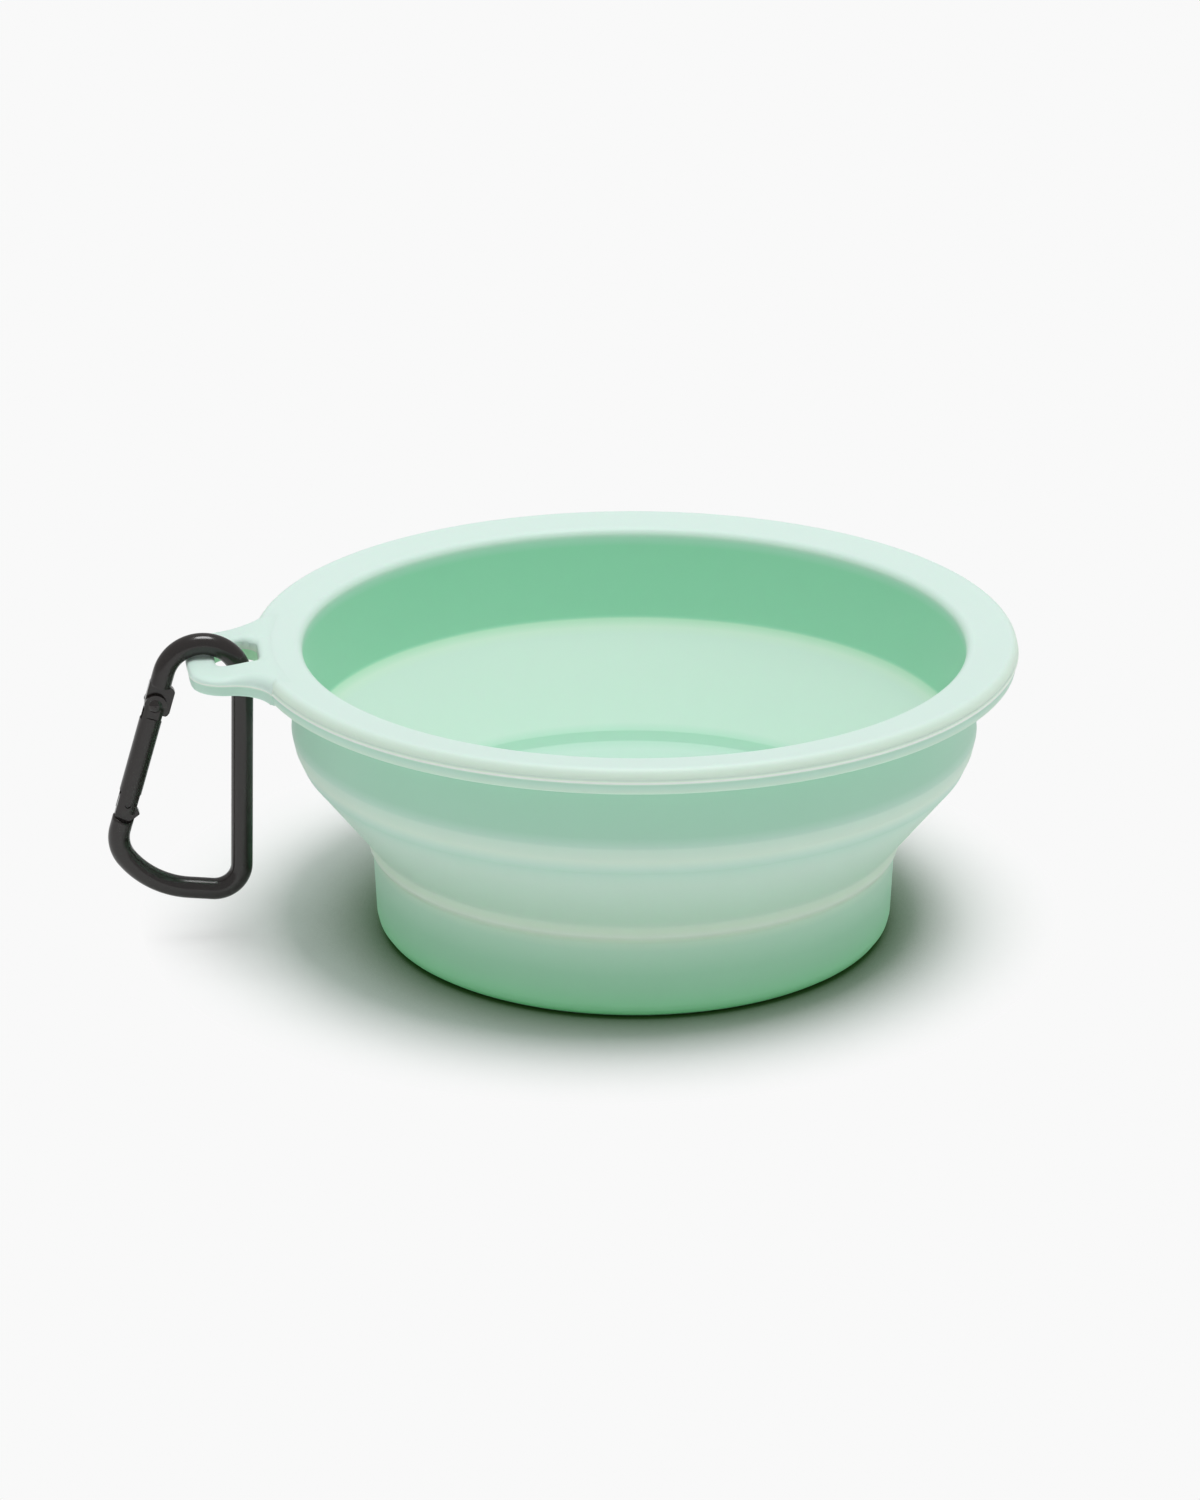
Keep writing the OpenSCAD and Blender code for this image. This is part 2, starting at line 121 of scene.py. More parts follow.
# How far the ear's underside is lifted where it runs inside the rim, and how far the slot's wall flares
# out to meet it
UNDER_LIFT = 0.16
SLOT_FLARE = 0.4

# The frame's heel and toe, as (radius, turn in degrees), and the radius of the last bend, which brings the
# rod back to the gate's direction
HEEL = (4.6, 95)
TOE = (15.1, 47)
LAST_BEND_R = 6.1

# Radius of the tiny ring that closes the end of the rod
CLOSED_R = 0.001

# The milled plates: their thickness and the width of their bevel
PLATE_T = 1.5
PLATE_BEVEL = 0.12

# How far the hinge tongue is sunk into the rod above it
TONGUE_SUNK = 0.6

# The nose's plate, from the gate's lower end: up to the latch pin, down to the rod, and on into the rod.
# Round the pin it has a notch of a radius, under a guard point that rises above the pin.
PIN_UP = 1.6
ROD_DOWN = 1.5
PLATE_SUNK = 1.6
NOTCH_R = 0.75
GUARD_UP = 1.7

# Colours of dust, of rubbed coating and of tarnish
DUST = (0.9, 0.93, 0.91)
RUBBED = (0.11, 0.11, 0.115)
TARNISH = (0.24, 0.235, 0.23)

# The studio: half the floor's side and the middle of its lit sweep in millimetres, the lamp in metres
FLOOR_HALF = 3000.0
SWEEP_MIDDLE = (-5.0, 4.5, 0.0)
LAMP_PLACE = (0.08, 0.0, 1.6)
LAMP_TARGET = (0.0, 0.0, 0.03)
LAMP_SIDE = 0.66

# The photograph's camera. It stands PHOTO_ROUND degrees round from the front, at a place in metres, tips
# down by PHOTO_DOWN degrees and aims PHOTO_ASIDE degrees to the left of the bowl's axis. The film and the
# focal length are in millimetres, and how far the camera sees is in metres.
PHOTO_ROUND = 8.0
PHOTO_DOWN = 21.3367
PHOTO_ASIDE = 0.4419
PHOTO_PLACE = (-0.10460, -0.74430, 0.27399 + PART_Z * MM)
PHOTO_TURN = (90.0 - PHOTO_DOWN, 0.0, PHOTO_ASIDE - PHOTO_ROUND)
PHOTO_FILM = 36.0
PHOTO_LENS = 113.19
PHOTO_SIGHT = 20.0


# Numbers and curves

def smooth(t):
    """0 below 0, 1 above 1, and 3t^2 - 2t^3 in between."""
    t = np.clip(t, 0.0, 1.0)
    return t * t * (3.0 - 2.0 * t)


def eased(distance, start, over):
    """0 up to the start, 1 from over beyond it, and a smooth step between."""
    return smooth((distance - start) / over)


def rounded_line(table, step=RUN_STEP, arc_steps=CORNER_STEPS):
    """Points along straight runs between the table's (x, y, radius) corners, each corner replaced by
    an arc of its radius that touches both runs."""
    table = np.asarray(table, float)
    corner = table[1:-1, :2]
    back = table[:-2, :2] - corner
    ahead = table[2:, :2] - corner
    back_len = np.linalg.norm(back, axis=1)
    ahead_len = np.linalg.norm(ahead, axis=1)
    back /= back_len[:, None]
    ahead /= ahead_len[:, None]
    half = np.arccos(np.clip(np.sum(back * ahead, axis=1), -1, 1)) / 2.0
    reach = np.minimum(table[1:-1, 2] / np.tan(half), CORNER_SHARE * np.minimum(back_len, ahead_len))
    radius = reach * np.tan(half)
    middle = back + ahead
    middle /= np.maximum(np.linalg.norm(middle, axis=1), 1e-9)[:, None]
    centre = corner + middle * (radius / np.sin(half))[:, None]
    first = corner + back * reach[:, None]
    last = corner + ahead * reach[:, None]
    from_a = np.arctan2(*(first - centre).T[::-1])
    turn = (np.arctan2(*(last - centre).T[::-1]) - from_a + np.pi) % (2 * np.pi) - np.pi
    t = np.linspace(0.0, 1.0, arc_steps)
    angle = from_a[:, None] + turn[:, None] * t
    arcs = centre[:, None, :] + radius[:, None, None] * np.stack([np.cos(angle), np.sin(angle)], axis=2)
    points = [table[:1, :2]]
    for bend, start in zip(arcs, np.vstack([table[:1, :2], last[:-1]])):
        count = max(int(np.linalg.norm(bend[0] - start) / step), 1)
        points += [start + (bend[0] - start) * np.linspace(0, 1, count + 1)[1:-1, None], bend]
    count = max(int(np.linalg.norm(table[-1, :2] - last[-1]) / step), 1)
    tail = last[-1] + (table[-1, :2] - last[-1]) * np.linspace(0, 1, count + 1)[1:, None]
    return np.vstack(points + [tail])


def add_mesh(name, points, faces, body, material, shades=None, sharp_angle=None):
    """One object from points in millimetres and faces that point outwards, smooth except past an angle.
    shades are values at the points that the material reads. Without a body the piece rides on none."""
    faces = faces.tolist() if isinstance(faces, np.ndarray) else faces
    mesh = bpy.data.meshes.new(name)
    mesh.from_pydata((np.asarray(points, float) * MM).tolist(), [], faces)
    mesh.validate()
    mesh.polygons.foreach_set("use_smooth", np.ones(len(mesh.polygons), bool))
    for label, values in (shades or {}).items():
        layer = mesh.attributes.new(label, "FLOAT", "POINT")
        layer.data.foreach_set("value", np.asarray(values, np.float32))
    if sharp_angle is not None:
        mesh.set_sharp_from_angle(angle=math.radians(sharp_angle))
    mesh.materials.append(material)
    piece = bpy.data.objects.new(name, mesh)
    bpy.context.scene.collection.objects.link(piece)
    if body is not None:
        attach(piece, body)
    return piece


def grid_faces(rows, columns, closed_rows=False, closed_columns=False):
    """Quads of a grid whose point (i, j) has number i * columns + j, joined round where it is closed."""
    i = np.arange(rows if closed_rows else rows - 1)
    j = np.arange(columns if closed_columns else columns - 1)
    i, j = np.meshgrid(i, j, indexing="ij")
    down, right = (i + 1) % rows, (j + 1) % columns
    quads = np.stack([i * columns + j, i * columns + right,
                      down * columns + right, down * columns + j], axis=-1)
    return quads.reshape(-1, 4)


# Materials

class Wire:
    """A socket of a material. Arithmetic on it adds the Math node that does the sum."""

    def __init__(self, paint, socket):
        self.paint = paint
        self.socket = socket

    def maths(self, operation, *values):
        """A Math node on numbers or wires."""
        return self.paint.node("ShaderNodeMath", {"operation": operation}, dict(enumerate(values)))

    def __add__(self, other):
        return self.maths("ADD", self, other)

    def __radd__(self, other):
        return self.maths("ADD", other, self)

    def __sub__(self, other):
        return self.maths("SUBTRACT", self, other)

    def __rsub__(self, other):
        return self.maths("SUBTRACT", other, self)

    def __mul__(self, other):
        return self.maths("MULTIPLY", self, other)

    def __rmul__(self, other):
        return self.maths("MULTIPLY", other, self)

    def limit(self, low=0.0, high=1.0):
        """The value held between low and high."""
        return self.maths("MINIMUM", self.maths("MAXIMUM", self, low), high)

    def ramp(self, low, high):
        """0 below low, 1 above high and a smooth step between."""
        return self.paint.node("ShaderNodeMapRange", {"interpolation_type": "SMOOTHSTEP"},
                               {"Value": self, "From Min": low, "From Max": high})


class Paint:
    """The nodes of a new material or world, all made by one method."""

    def __init__(self, owner):
        owner.use_nodes = True
        self.owner = owner
        self.tree = owner.node_tree
        self.tree.nodes.clear()

    def node(self, kind, settings=None, sockets=None, output=0):
        """Adds a node: first its settings, then the values or links of its inputs."""
        made = self.tree.nodes.new(kind)
        for key, value in (settings or {}).items():
            setattr(made, key, value)
        for key, value in (sockets or {}).items():
            if isinstance(value, Wire):
                self.tree.links.new(value.socket, made.inputs[key])
            else:
                made.inputs[key].default_value = value
        return Wire(self, made.outputs[output]) if made.outputs else made

    def place(self, stretch=(1.0, 1.0, 1.0)):
        """Object coordinates in millimetres, stretched along each axis."""
        where = self.node("ShaderNodeTexCoord", output="Object")
        return self.node("ShaderNodeMapping", {"vector_type": "POINT"},
                         {"Vector": where, "Scale": tuple(s / MM for s in stretch)})

    def noise(self, where, scale, detail=2.0, rough=0.5):
        """Cloudy values between 0 and 1, with scale clouds to a millimetre."""
        return self.node("ShaderNodeTexNoise", {"normalize": True},
                         {"Vector": where, "Scale": scale, "Detail": detail, "Roughness": rough})

    def blend(self, share, first, second):
        """The first colour where share is 0 and the second where it is 1."""
        return self.node("ShaderNodeMix", {"data_type": "RGBA"}, {0: share, 6: first, 7: second}, output=2)

    def bump(self, height, depth, strength=1.0, under=None):
        """A normal bent by a height of 0 to 1 that is depth millimetres high."""
        links = {"Height": height, "Distance": depth * MM, "Strength": strength}
        if under is not None:
            links["Normal"] = under
        return self.node("ShaderNodeBump", None, links)

    def surface(self, **sockets):
        """The Principled surface with its sockets, as the output of the material."""
        names = {key.replace("_", " "): value for key, value in sockets.items()}
        shader = self.node("ShaderNodeBsdfPrincipled", None, names)
        self.node("ShaderNodeOutputMaterial", None, {"Surface": shader})
        return self.owner


def colour(rgb):
    """A colour socket's four values."""
    return (*rgb, 1.0)


def silicone_paint(look):
    """Matte moulded silicone: faint clouding, a fine sparked grain and a trace of dust. The tone attribute
    paints light and shade into the colour: painted light on lit edges, folds and the slot's wall (to 1), a
    painted highlight on the thin moulding line (to 2) and painted shade in creases (to -1). The depth
    attribute paints shade and light through the silicone, from 0 on the bare thick rim to 1 in the thin,
    shut-in walls, painted a deeper green, and on to 2 at the foot and the slot's wall, which are given a
    painted green glow."""
    paint = Paint(bpy.data.materials.new("mint_silicone"))
    where = paint.place()
    cloud = paint.noise(where, scale=0.045, detail=3.0)
    grain = paint.noise(where, scale=5.5, detail=2.0, rough=0.6)
    dust = paint.noise(where, scale=1.7, detail=4.0, rough=0.75).ramp(low=0.66, high=0.8)
    tone = paint.node("ShaderNodeAttribute", {"attribute_name": "tone"}, output="Fac")
    depth = paint.node("ShaderNodeAttribute", {"attribute_name": "depth"}, output="Fac")
    # Painted shade and through-light: depth blends towards a deeper green on shut-in, shaded walls
    base = paint.blend((depth + (cloud - 0.5) * 0.08).limit(),
                       colour(look.silicone), colour(look.silicone_painted_shade))
    # Painted light: tone up to 1 lightens lit edges, fold ridges, the rim's rounding and the slot's wall
    base = paint.blend(tone.limit() * 0.75, base, colour(look.silicone_painted_light))
    # Painted highlight: tone above 1 whitens the thin moulding line and the top of the slot's wall
    base = paint.blend((tone - 1.0).limit(), base, colour(look.silicone_painted_highlight))
    # Painted shade: tone below 0 darkens the creases
    base = paint.blend((0.0 - tone).limit() * 0.5, base, colour(look.silicone_painted_crease_shade))
    base = paint.blend(dust * 0.07, base, colour(DUST))
    # Painted glow: emission gives the foot and the slot's wall a faint green glow, standing in for light
    # passed through the silicone
    painted_glow = paint.blend((depth - 1.0).limit(), colour((0.0, 0.0, 0.0)), colour(look.silicone_painted_glow))
    rough = look.silicone_rough - 0.06 + 0.12 * cloud + 0.06 * dust
    return paint.surface(
        Base_Color=base,
        Roughness=rough,
        IOR=1.42,
        Specular_IOR_Level=0.5,
        Subsurface_Weight=look.silicone_glow,
        Subsurface_Radius=(0.6, 1.0, 0.75),
        Subsurface_Scale=1.5 * MM,
        Sheen_Weight=0.1,
        Sheen_Roughness=0.5,
        Emission_Color=painted_glow,
        Emission_Strength=1.0,
        Normal=paint.bump(grain, depth=0.012, strength=0.35,
                          under=paint.bump(cloud, depth=0.25, strength=0.12)),
    )


def black_paint(look, name="black_coating", least=None):
    """Satin black coating on metal: pores in its gloss, and thin rubbed marks along the rod. least is its
    roughness where there is neither."""
    paint = Paint(bpy.data.materials.new(name))
    least = look.coating_rough - 0.03 if least is None else least
    where = paint.place()
    pores = paint.noise(where, scale=2.2, detail=4.0, rough=0.6)
    marks = paint.noise(paint.place(stretch=(0.5, 2.5, 0.22)), scale=1.6, detail=3.0, rough=0.65)
    marks = marks.ramp(low=0.62, high=0.76)
    base = paint.blend(marks * 0.08, colour(look.coating), colour(RUBBED))
    return paint.surface(
        Base_Color=base,
        Roughness=least + 0.06 * pores - 0.02 * marks,
        Metallic=0.0,
        Specular_IOR_Level=0.6,
        Normal=paint.bump(pores, depth=0.01, strength=0.04),
    )


def polished_paint(look):
    """The same coating, burnished smooth on the rivet's heads."""
    return black_paint(look, name="polished_black", least=0.07)


def steel_paint(look):
    """Plain drawn steel, for the spring and plunger: fine streaks and a little tarnish."""
    paint = Paint(bpy.data.materials.new("drawn_steel"))
    streak = paint.noise(paint.place(stretch=(1.0, 6.0, 1.0)), scale=3.0, detail=3.0)
    tarnish = paint.noise(paint.place(), scale=0.9, detail=3.0).ramp(low=0.45, high=0.75)
    return paint.surface(
        Base_Color=paint.blend(tarnish * 0.4, colour(look.steel), colour(TARNISH)),
        Roughness=0.26 + 0.16 * streak + 0.1 * tarnish,
        Metallic=1.0,
        Normal=paint.bump(streak, depth=0.01, strength=0.25),
    )


def floor_paint(look):
    """Pale paper with very faint fibres. Seen by the camera it turns, away from the bowl, into the even
    tone of a lit sweep; every other ray meets plain paper."""
    paint = Paint(bpy.data.materials.new("studio_paper"))
    where = paint.place()
    fibre = paint.noise(where, scale=0.6, detail=3.0)
    away = paint.node("ShaderNodeVectorMath", {"operation": "DISTANCE"}, {0: where, 1: SWEEP_MIDDLE},
                      output="Value")
    open_sky = paint.node("ShaderNodeAmbientOcclusion", {"samples": 12},
                          {"Distance": look.shade_reach * MM}, output="AO")
    base = paint.blend(fibre, colour(look.paper), colour(tuple(0.985 * c for c in look.paper)))
    # Painted shadow: where the paper beside what stands on it is shut in, it turns the dark green of
    # paper_shade
    base = paint.blend(open_sky.ramp(low=0.25, high=0.95), colour(look.paper_shade), base)
    paper = paint.node("ShaderNodeBsdfPrincipled", None, {"Base Color": base, "Roughness": 0.9,
                                                          "Specular IOR Level": 0.1})
    sweep = paint.node("ShaderNodeEmission", None, {"Color": colour(look.backdrop), "Strength": 1.0})
    seen = paint.node("ShaderNodeLightPath", output="Is Camera Ray")
    fade = paint.node("ShaderNodeMapRange", {"interpolation_type": "LINEAR", "clamp": True},
                      {"Value": away, "From Min": look.sweep_start, "From Max": look.sweep_end})
    mixed = paint.node("ShaderNodeMixShader", None, {0: seen * fade, 1: paper, 2: sweep})
    paint.node("ShaderNodeOutputMaterial", None, {"Surface": mixed})
    return paint.owner


def room_light(look):
    """Even white light from all round, seen by the camera as the backdrop's tone."""
    room = Paint(bpy.data.worlds.new("studio_room"))
    seen = room.node("ShaderNodeLightPath", output="Is Camera Ray")
    level = room.node("ShaderNodeMath", {"operation": "MULTIPLY_ADD"},
                      {0: seen, 1: look.backdrop[0] - look.sky, 2: look.sky})
    back = room.node("ShaderNodeBackground", None, {"Color": colour((1.0, 1.0, 1.0)), "Strength": level})
    room.node("ShaderNodeOutputWorld", None, {"Surface": back})
    return room.owner


# The bowl's skin

def rim_top(r, size):
    """Height of the rim's top over the parting line at a radius: a slope falling inwards from the crown,
    and a quarter ellipse down the rounded outer edge."""
    crown_r = RIM_R - size.rim_edge
    slope = size.rim_fall / (size.rim_width - size.rim_edge - size.lip_round)
    into_edge = np.clip((r - crown_r) / size.rim_edge, 0, 1)
    return size.rim_crown * np.sqrt(1 - into_edge ** 2) - slope * np.clip(crown_r - r, 0, None)


def skin_profile(size):
    """The bowl's section as (radius, height, corner radius), from the middle of the underside, out and up
    the outside, over the rim, down the inside and back to the middle of the floor."""
    edge = RIM_R - size.rim_flash
    part = PART_Z
    crown = part + size.rim_crown
    opening = RIM_R - size.rim_width
    lip_z = crown - size.rim_fall
    outside = [
        (0.0, 0.0, 0.0),
        (44.25, 0.0, 2.9),  # foot
        (44.86, 14.2, 0.7),  # top of the base's wall
        (45.66, 15.4, 0.8),  # lower fold
        (45.66, 17.35, 1.3),
        (56.75, GROOVE_Z, 0.9),  # top of the sloping wall
        (57.85, 33.9, 1.3),  # upper fold
        (58.35, 36.3, 1.6),
        (57.3, 47.1, 0.9),  # top of the upper wall
        (64.55, RIM_UNDER_Z, 0.6),  # the rim's underside
        # The moulding line round the rim
        (edge - 0.1, part - 0.42, 0.25),
        (edge - 0.06, part - 0.2, 0.05),
        (RIM_R, part - 0.05, 0.06),
        (RIM_R - 0.02, part + 0.12, 0.08),
        (edge - 0.1, part + 0.46, 0.12),
    ]
    a = np.radians(np.linspace(18.0, 84.0, 8))
    outside += [(RIM_R - size.rim_edge + (size.rim_edge - size.rim_flash * (1 - math.sin(t))) * math.cos(t),
                 part + size.rim_crown * math.sin(t), 0.3) for t in a]
    lip_r = opening + size.lip_round
    inside = [(RIM_R - size.rim_edge - 0.15, crown - 0.02, 1.0), (lip_r + 0.25, lip_z + 0.03, 0.8)]
    a = np.radians(np.linspace(100.0, 172.0, 7))
    inside += [(lip_r + size.lip_round * math.cos(t), lip_z + size.lip_round * (math.sin(t) - 1), 0.25)
               for t in a]
    inside += [
        (opening, lip_z - size.lip_round - 0.4, 0.8),  # top of the upper wall
        (55.5, 35.2, 1.1),  # upper fold
        (55.3, 34.75, 0.7),
        (43.75, 17.3, 0.5),  # lower fold
        (43.2, 15.55, 0.5),
        (33.6, 2.6, 3.0),  # foot of the slope inside the base
        (31.5, 2.0, 2.0),
        (0.0, 2.0, 0.0),
    ]
    return outside + inside


def rim_limit(angle, size):
    """How far out the rim's section may reach at an angle from the ear: only to the ear's root behind the
    ear, easing back to the full radius beside it."""
    side = np.where(np.cos(angle) > 0, np.abs(RIM_R * np.sin(angle)), RIM_R)
    beside = eased(side, start=ROOT_SIDE, over=ROOT_EASE)
    return size.ear_root + ROOT_LAP + (RIM_R + LIMIT_CLEAR - size.ear_root) * beside


def shade_along(height, inner, outside, inside):
    """A value down the section from (height, value) tables for its outside and its inside."""
    outside, inside = np.array(outside).T, np.array(inside).T
    return np.where(inner, np.interp(height, *inside), np.interp(height, *outside))


def skin_shades(height, inner):
    """The depth and tone attributes along the section, which paint light and shade into the colour: painted
    shade, deeper at the foot and on the shut-in upright walls, with a painted glow at the foot; painted
    light on the folds, the rim's rounded edge, the lip and the moulding line; painted shade in the groove
    under the upper fold."""
    foot = BASE_TOP_Z
    depth = shade_along(
        height, inner,
        [(0.0, 2.0), (2.5, 1.7), (5.0, 1.25), (foot - 4.0, 0.8), (foot - 0.6, 0.55), (foot + 1.4, 0.1),
         (foot + 4.0, 0.4), (GROOVE_Z - 3.0, 0.2), (GROOVE_Z + 1.0, 0.35), (GROOVE_Z + 2.6, 0.1),
         (GROOVE_Z + 4.6, 0.25), (GROOVE_Z + 7.0, 0.55), (RIM_UNDER_Z - 0.2, 0.5), (RIM_UNDER_Z, 0.3),
         (PART_Z - 0.3, 0.4), (PART_Z, 0.0)],
        [(0.0, 0.3), (4.0, 0.3), (foot - 1.0, 0.05), (foot + 0.5, 0.0), (foot + 1.1, 0.35),
         (foot + 1.8, 0.85), (foot + 2.6, 0.4), (foot + 3.3, 0.0),
         (GROOVE_Z + 2.0, 0.0), (GROOVE_Z + 3.4, 0.85), (PART_Z - 1.0, 0.95), (PART_Z + 0.4, 0.0)])
    tone = shade_along(
        height, inner,
        [(0.0, 0.4), (4.0, 0.3), (foot - 1.0, 0.3), (foot + 0.3, 1.25), (foot + 1.6, 1.2),
         (foot + 3.2, 0.45), (GROOVE_Z - 3.0, 0.25),
         (GROOVE_Z - 0.2, 0.05), (GROOVE_Z + 0.3, -0.5), (GROOVE_Z + 0.9, -0.35), (GROOVE_Z + 1.9, 0.5),
         (GROOVE_Z + 3.9, 0.65), (GROOVE_Z + 5.3, 0.0), (GROOVE_Z + 6.0, -0.4), (RIM_UNDER_Z - 0.1, -0.3),
         (RIM_UNDER_Z + 0.1, 0.45), (RIM_UNDER_Z + 0.5, 0.4), (RIM_UNDER_Z + 0.75, -0.3),
         (PART_Z - 0.25, -0.3), (PART_Z - 0.12, 1.7), (PART_Z + 0.14, 1.8), (PART_Z + 0.25, 0.0),
         (PART_Z + 0.6, 0.5), (PART_Z + 1.2, 0.7), (PART_Z + 2.0, 0.3), (PART_Z + 2.2, 0.0)],
        [(0.0, 0.0), (foot + 0.5, 0.0), (foot + 1.2, 0.0), (foot + 2.4, 0.0), (foot + 3.4, 0.25),
         (GROOVE_Z + 1.6, 0.25), (GROOVE_Z + 2.6, 1.0), (GROOVE_Z + 3.4, 0.6), (GROOVE_Z + 3.7, 0.0),
         (PART_Z - 0.4, 0.0), (PART_Z + 0.3, 0.3), (PART_Z + 1.2, 0.0)])
    return depth, tone


def build_skin(size, material):
    """The section turned about the upright axis: x = -r cos a, y = r sin a, z = height. Its two ends
    close on single points on the axis."""
    profile = rounded_line(skin_profile(size))
    crown = int(np.argmax(profile[:, 1]))
    inner = np.arange(len(profile)) > crown
    depth, tone = skin_shades(profile[:, 1], inner)
    # The underside gets none of the painted glow
    underside = (profile[:, 1] < UNDERSIDE_H) & (profile[:, 0] < UNDERSIDE_R)
    depth = np.where(underside, 1.0, depth)
    ring_r, ring_z = profile[1:-1, 0], profile[1:-1, 1]
    around = SKIN_SIDES
    angle = np.linspace(0, 2 * np.pi, around, endpoint=False)
    signed = (angle + np.pi) % (2 * np.pi) - np.pi
    limit = rim_limit(signed, size)
    reach = np.minimum(ring_r[:, None], limit[None, :])
    cap = PART_Z + rim_top(np.minimum(limit, RIM_R), size) - SKIN_SINK
    held = np.minimum(ring_z[:, None], cap[None, :])
    height = np.where(ring_r[:, None] > limit[None, :], held, ring_z[:, None])
    points = np.stack([-reach * np.cos(angle), reach * np.sin(angle), height], axis=-1).reshape(-1, 3)
    rings = len(ring_r)
    points = np.vstack([points, [[0, 0, profile[0, 1]], [0, 0, profile[-1, 1]]]])
    quads = grid_faces(rings, around, closed_columns=True).tolist()
    j = np.arange(around)
    last = (rings - 1) * around
    following = (j + 1) % around
    first_fan = np.stack([np.full(around, rings * around), following, j], axis=1).tolist()
    last_fan = np.stack([np.full(around, rings * around + 1), last + j, last + following], axis=1).tolist()
    shades = {label: np.concatenate([np.repeat(values[1:-1], around), [values[0], values[-1]]])
              for label, values in (("tone", tone), ("depth", depth))}
    faces = [face[::-1] for face in quads + first_fan + last_fan]
    skin = add_mesh("bowl_skin", points, faces, None, material, shades, SKIN_SHARP)
    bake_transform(skin)
    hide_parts("rim_flange", "upper_wall", "upper_fold_ring", "middle_wall", "lower_fold_ring",
                "base_wall", "base_floor")
    return skin


# The ear

def ear_outline(size, steps=16):
    """The ear seen from above as (out, along) points: the neck's hollow arc, the side, the rounded corner
    and the end arc about the bowl's axis, then the same mirrored. Millimetres, out from the bowl's axis."""
    tip, corner, neck, half = size.ear_tip, size.ear_corner, size.ear_neck, size.ear_width / 2
    side_y = half - corner
    lean = math.asin(side_y / (tip - corner))
    corner_x = side_y / math.tan(lean)
    neck_y = half + neck
    neck_x = math.sqrt((RIM_R + neck) ** 2 - neck_y ** 2)
    t = np.linspace(0, 1, steps)
    first = math.atan2(neck_y, neck_x)
    a = first + (math.pi / 2 - first) * t
    hollow = np.stack([neck_x - neck * np.cos(a), neck_y - neck * np.sin(a)], axis=1)
    b = np.linspace(math.pi / 2, lean, steps)
    bend = np.stack([corner_x + corner * np.cos(b), side_y + corner * np.sin(b)], axis=1)
    c = np.linspace(lean, -lean, steps)[1:-1]
    end = np.stack([tip * np.cos(c), tip * np.sin(c)], axis=1)
    return np.vstack([hollow, bend, end, bend[::-1] * [1, -1], hollow[::-1] * [1, -1]])


def slot_edge(size, angle):
    """The slot's edge: a rounded rectangle, as the point where a ray from its middle at each angle leaves
    it. Found by halving: a point is outside when it lies farther than the corner radius from the
    rectangle that is smaller by that radius all round."""
    a = (size.slot_out - size.slot_in) / 2
    b = size.slot_length / 2
    c, s = np.abs(np.cos(angle)), np.abs(np.sin(angle))
    low, high = np.zeros_like(angle), np.full_like(angle, a + b)
    r = size.slot_corner
    for _ in range(40):
        mid = (low + high) / 2
        dx, dy = mid * c - (a - r), mid * s - (b - r)
        beyond = np.hypot(np.clip(dx, 0, None), np.clip(dy, 0, None))
        out = beyond + np.minimum(np.maximum(dx, dy), 0) > r
        high = np.where(out, mid, high)
        low = np.where(out, low, mid)
    middle = (size.slot_in + size.slot_out) / 2
    return np.stack([middle + low * np.cos(angle), low * np.sin(angle)], axis=-1)


def nearest(points, line):
    """Distance from each point to the nearest point of a finely drawn line, taken in parts to save memory."""
    gap = np.full(points.shape[:-1], 1e9)
    for part in np.array_split(line, 30):
        gap = np.minimum(gap, np.linalg.norm(points[..., None, :] - part, axis=-1).min(axis=-1))
    return gap


def ear_height(flat, from_out, from_slot, size):
    """Height of the ear's top over the parting line. The rim's slope runs on outwards and eases down to
    the ear's crown, which is higher on the two bars beside the slot. From there the top falls as a quarter
    ellipse to the free edge: as wide as the rim's at the necks, narrower and onto a thin ridge on the
    ear, and it dips more softly into the slot."""
    r, side = np.linalg.norm(flat, axis=-1), np.abs(flat[..., 1])
    neck_y = size.ear_width / 2 + size.ear_neck
    own = eased(neck_y - side, start=0.3, over=4.0)
    flash = size.rim_flash * own
    round_over = size.rim_edge + (size.ear_round - size.rim_edge) * own
    fall = 1 - np.clip((from_out - flash) / round_over, 0, 1)
    swell = np.sqrt(1 - fall ** 2)
    near_root = 1 - eased(r - size.ear_root, start=3.0, over=9.0)
    shoulder = near_root * eased(side - size.slot_length / 2, start=-1.2, over=2.2)
    top = size.ear_crown + (size.ear_shoulder - size.ear_crown) * shoulder
    slope = size.rim_fall / (size.rim_width - size.rim_edge - size.lip_round)
    line = size.rim_crown - slope * (RIM_R - size.rim_edge - np.minimum(r, RIM_R - size.rim_edge))
    line = line + (top - line) * own * eased(r - size.ear_root, start=0.2, over=6.0)
    height = RIDGE_H * own + (line - RIDGE_H * own) * swell
    on_ridge = smooth((size.rim_flash - from_out) / size.rim_flash) * (r > RIM_R - 0.05)
    height = height - RIDGE_DROP * own * on_ridge
    dip = 1 - np.clip(from_slot / SLOT_DIP_W, 0, 1)
    return height - SLOT_DIP_H * (1 - np.sqrt(1 - dip ** 2)) + EAR_LIFT


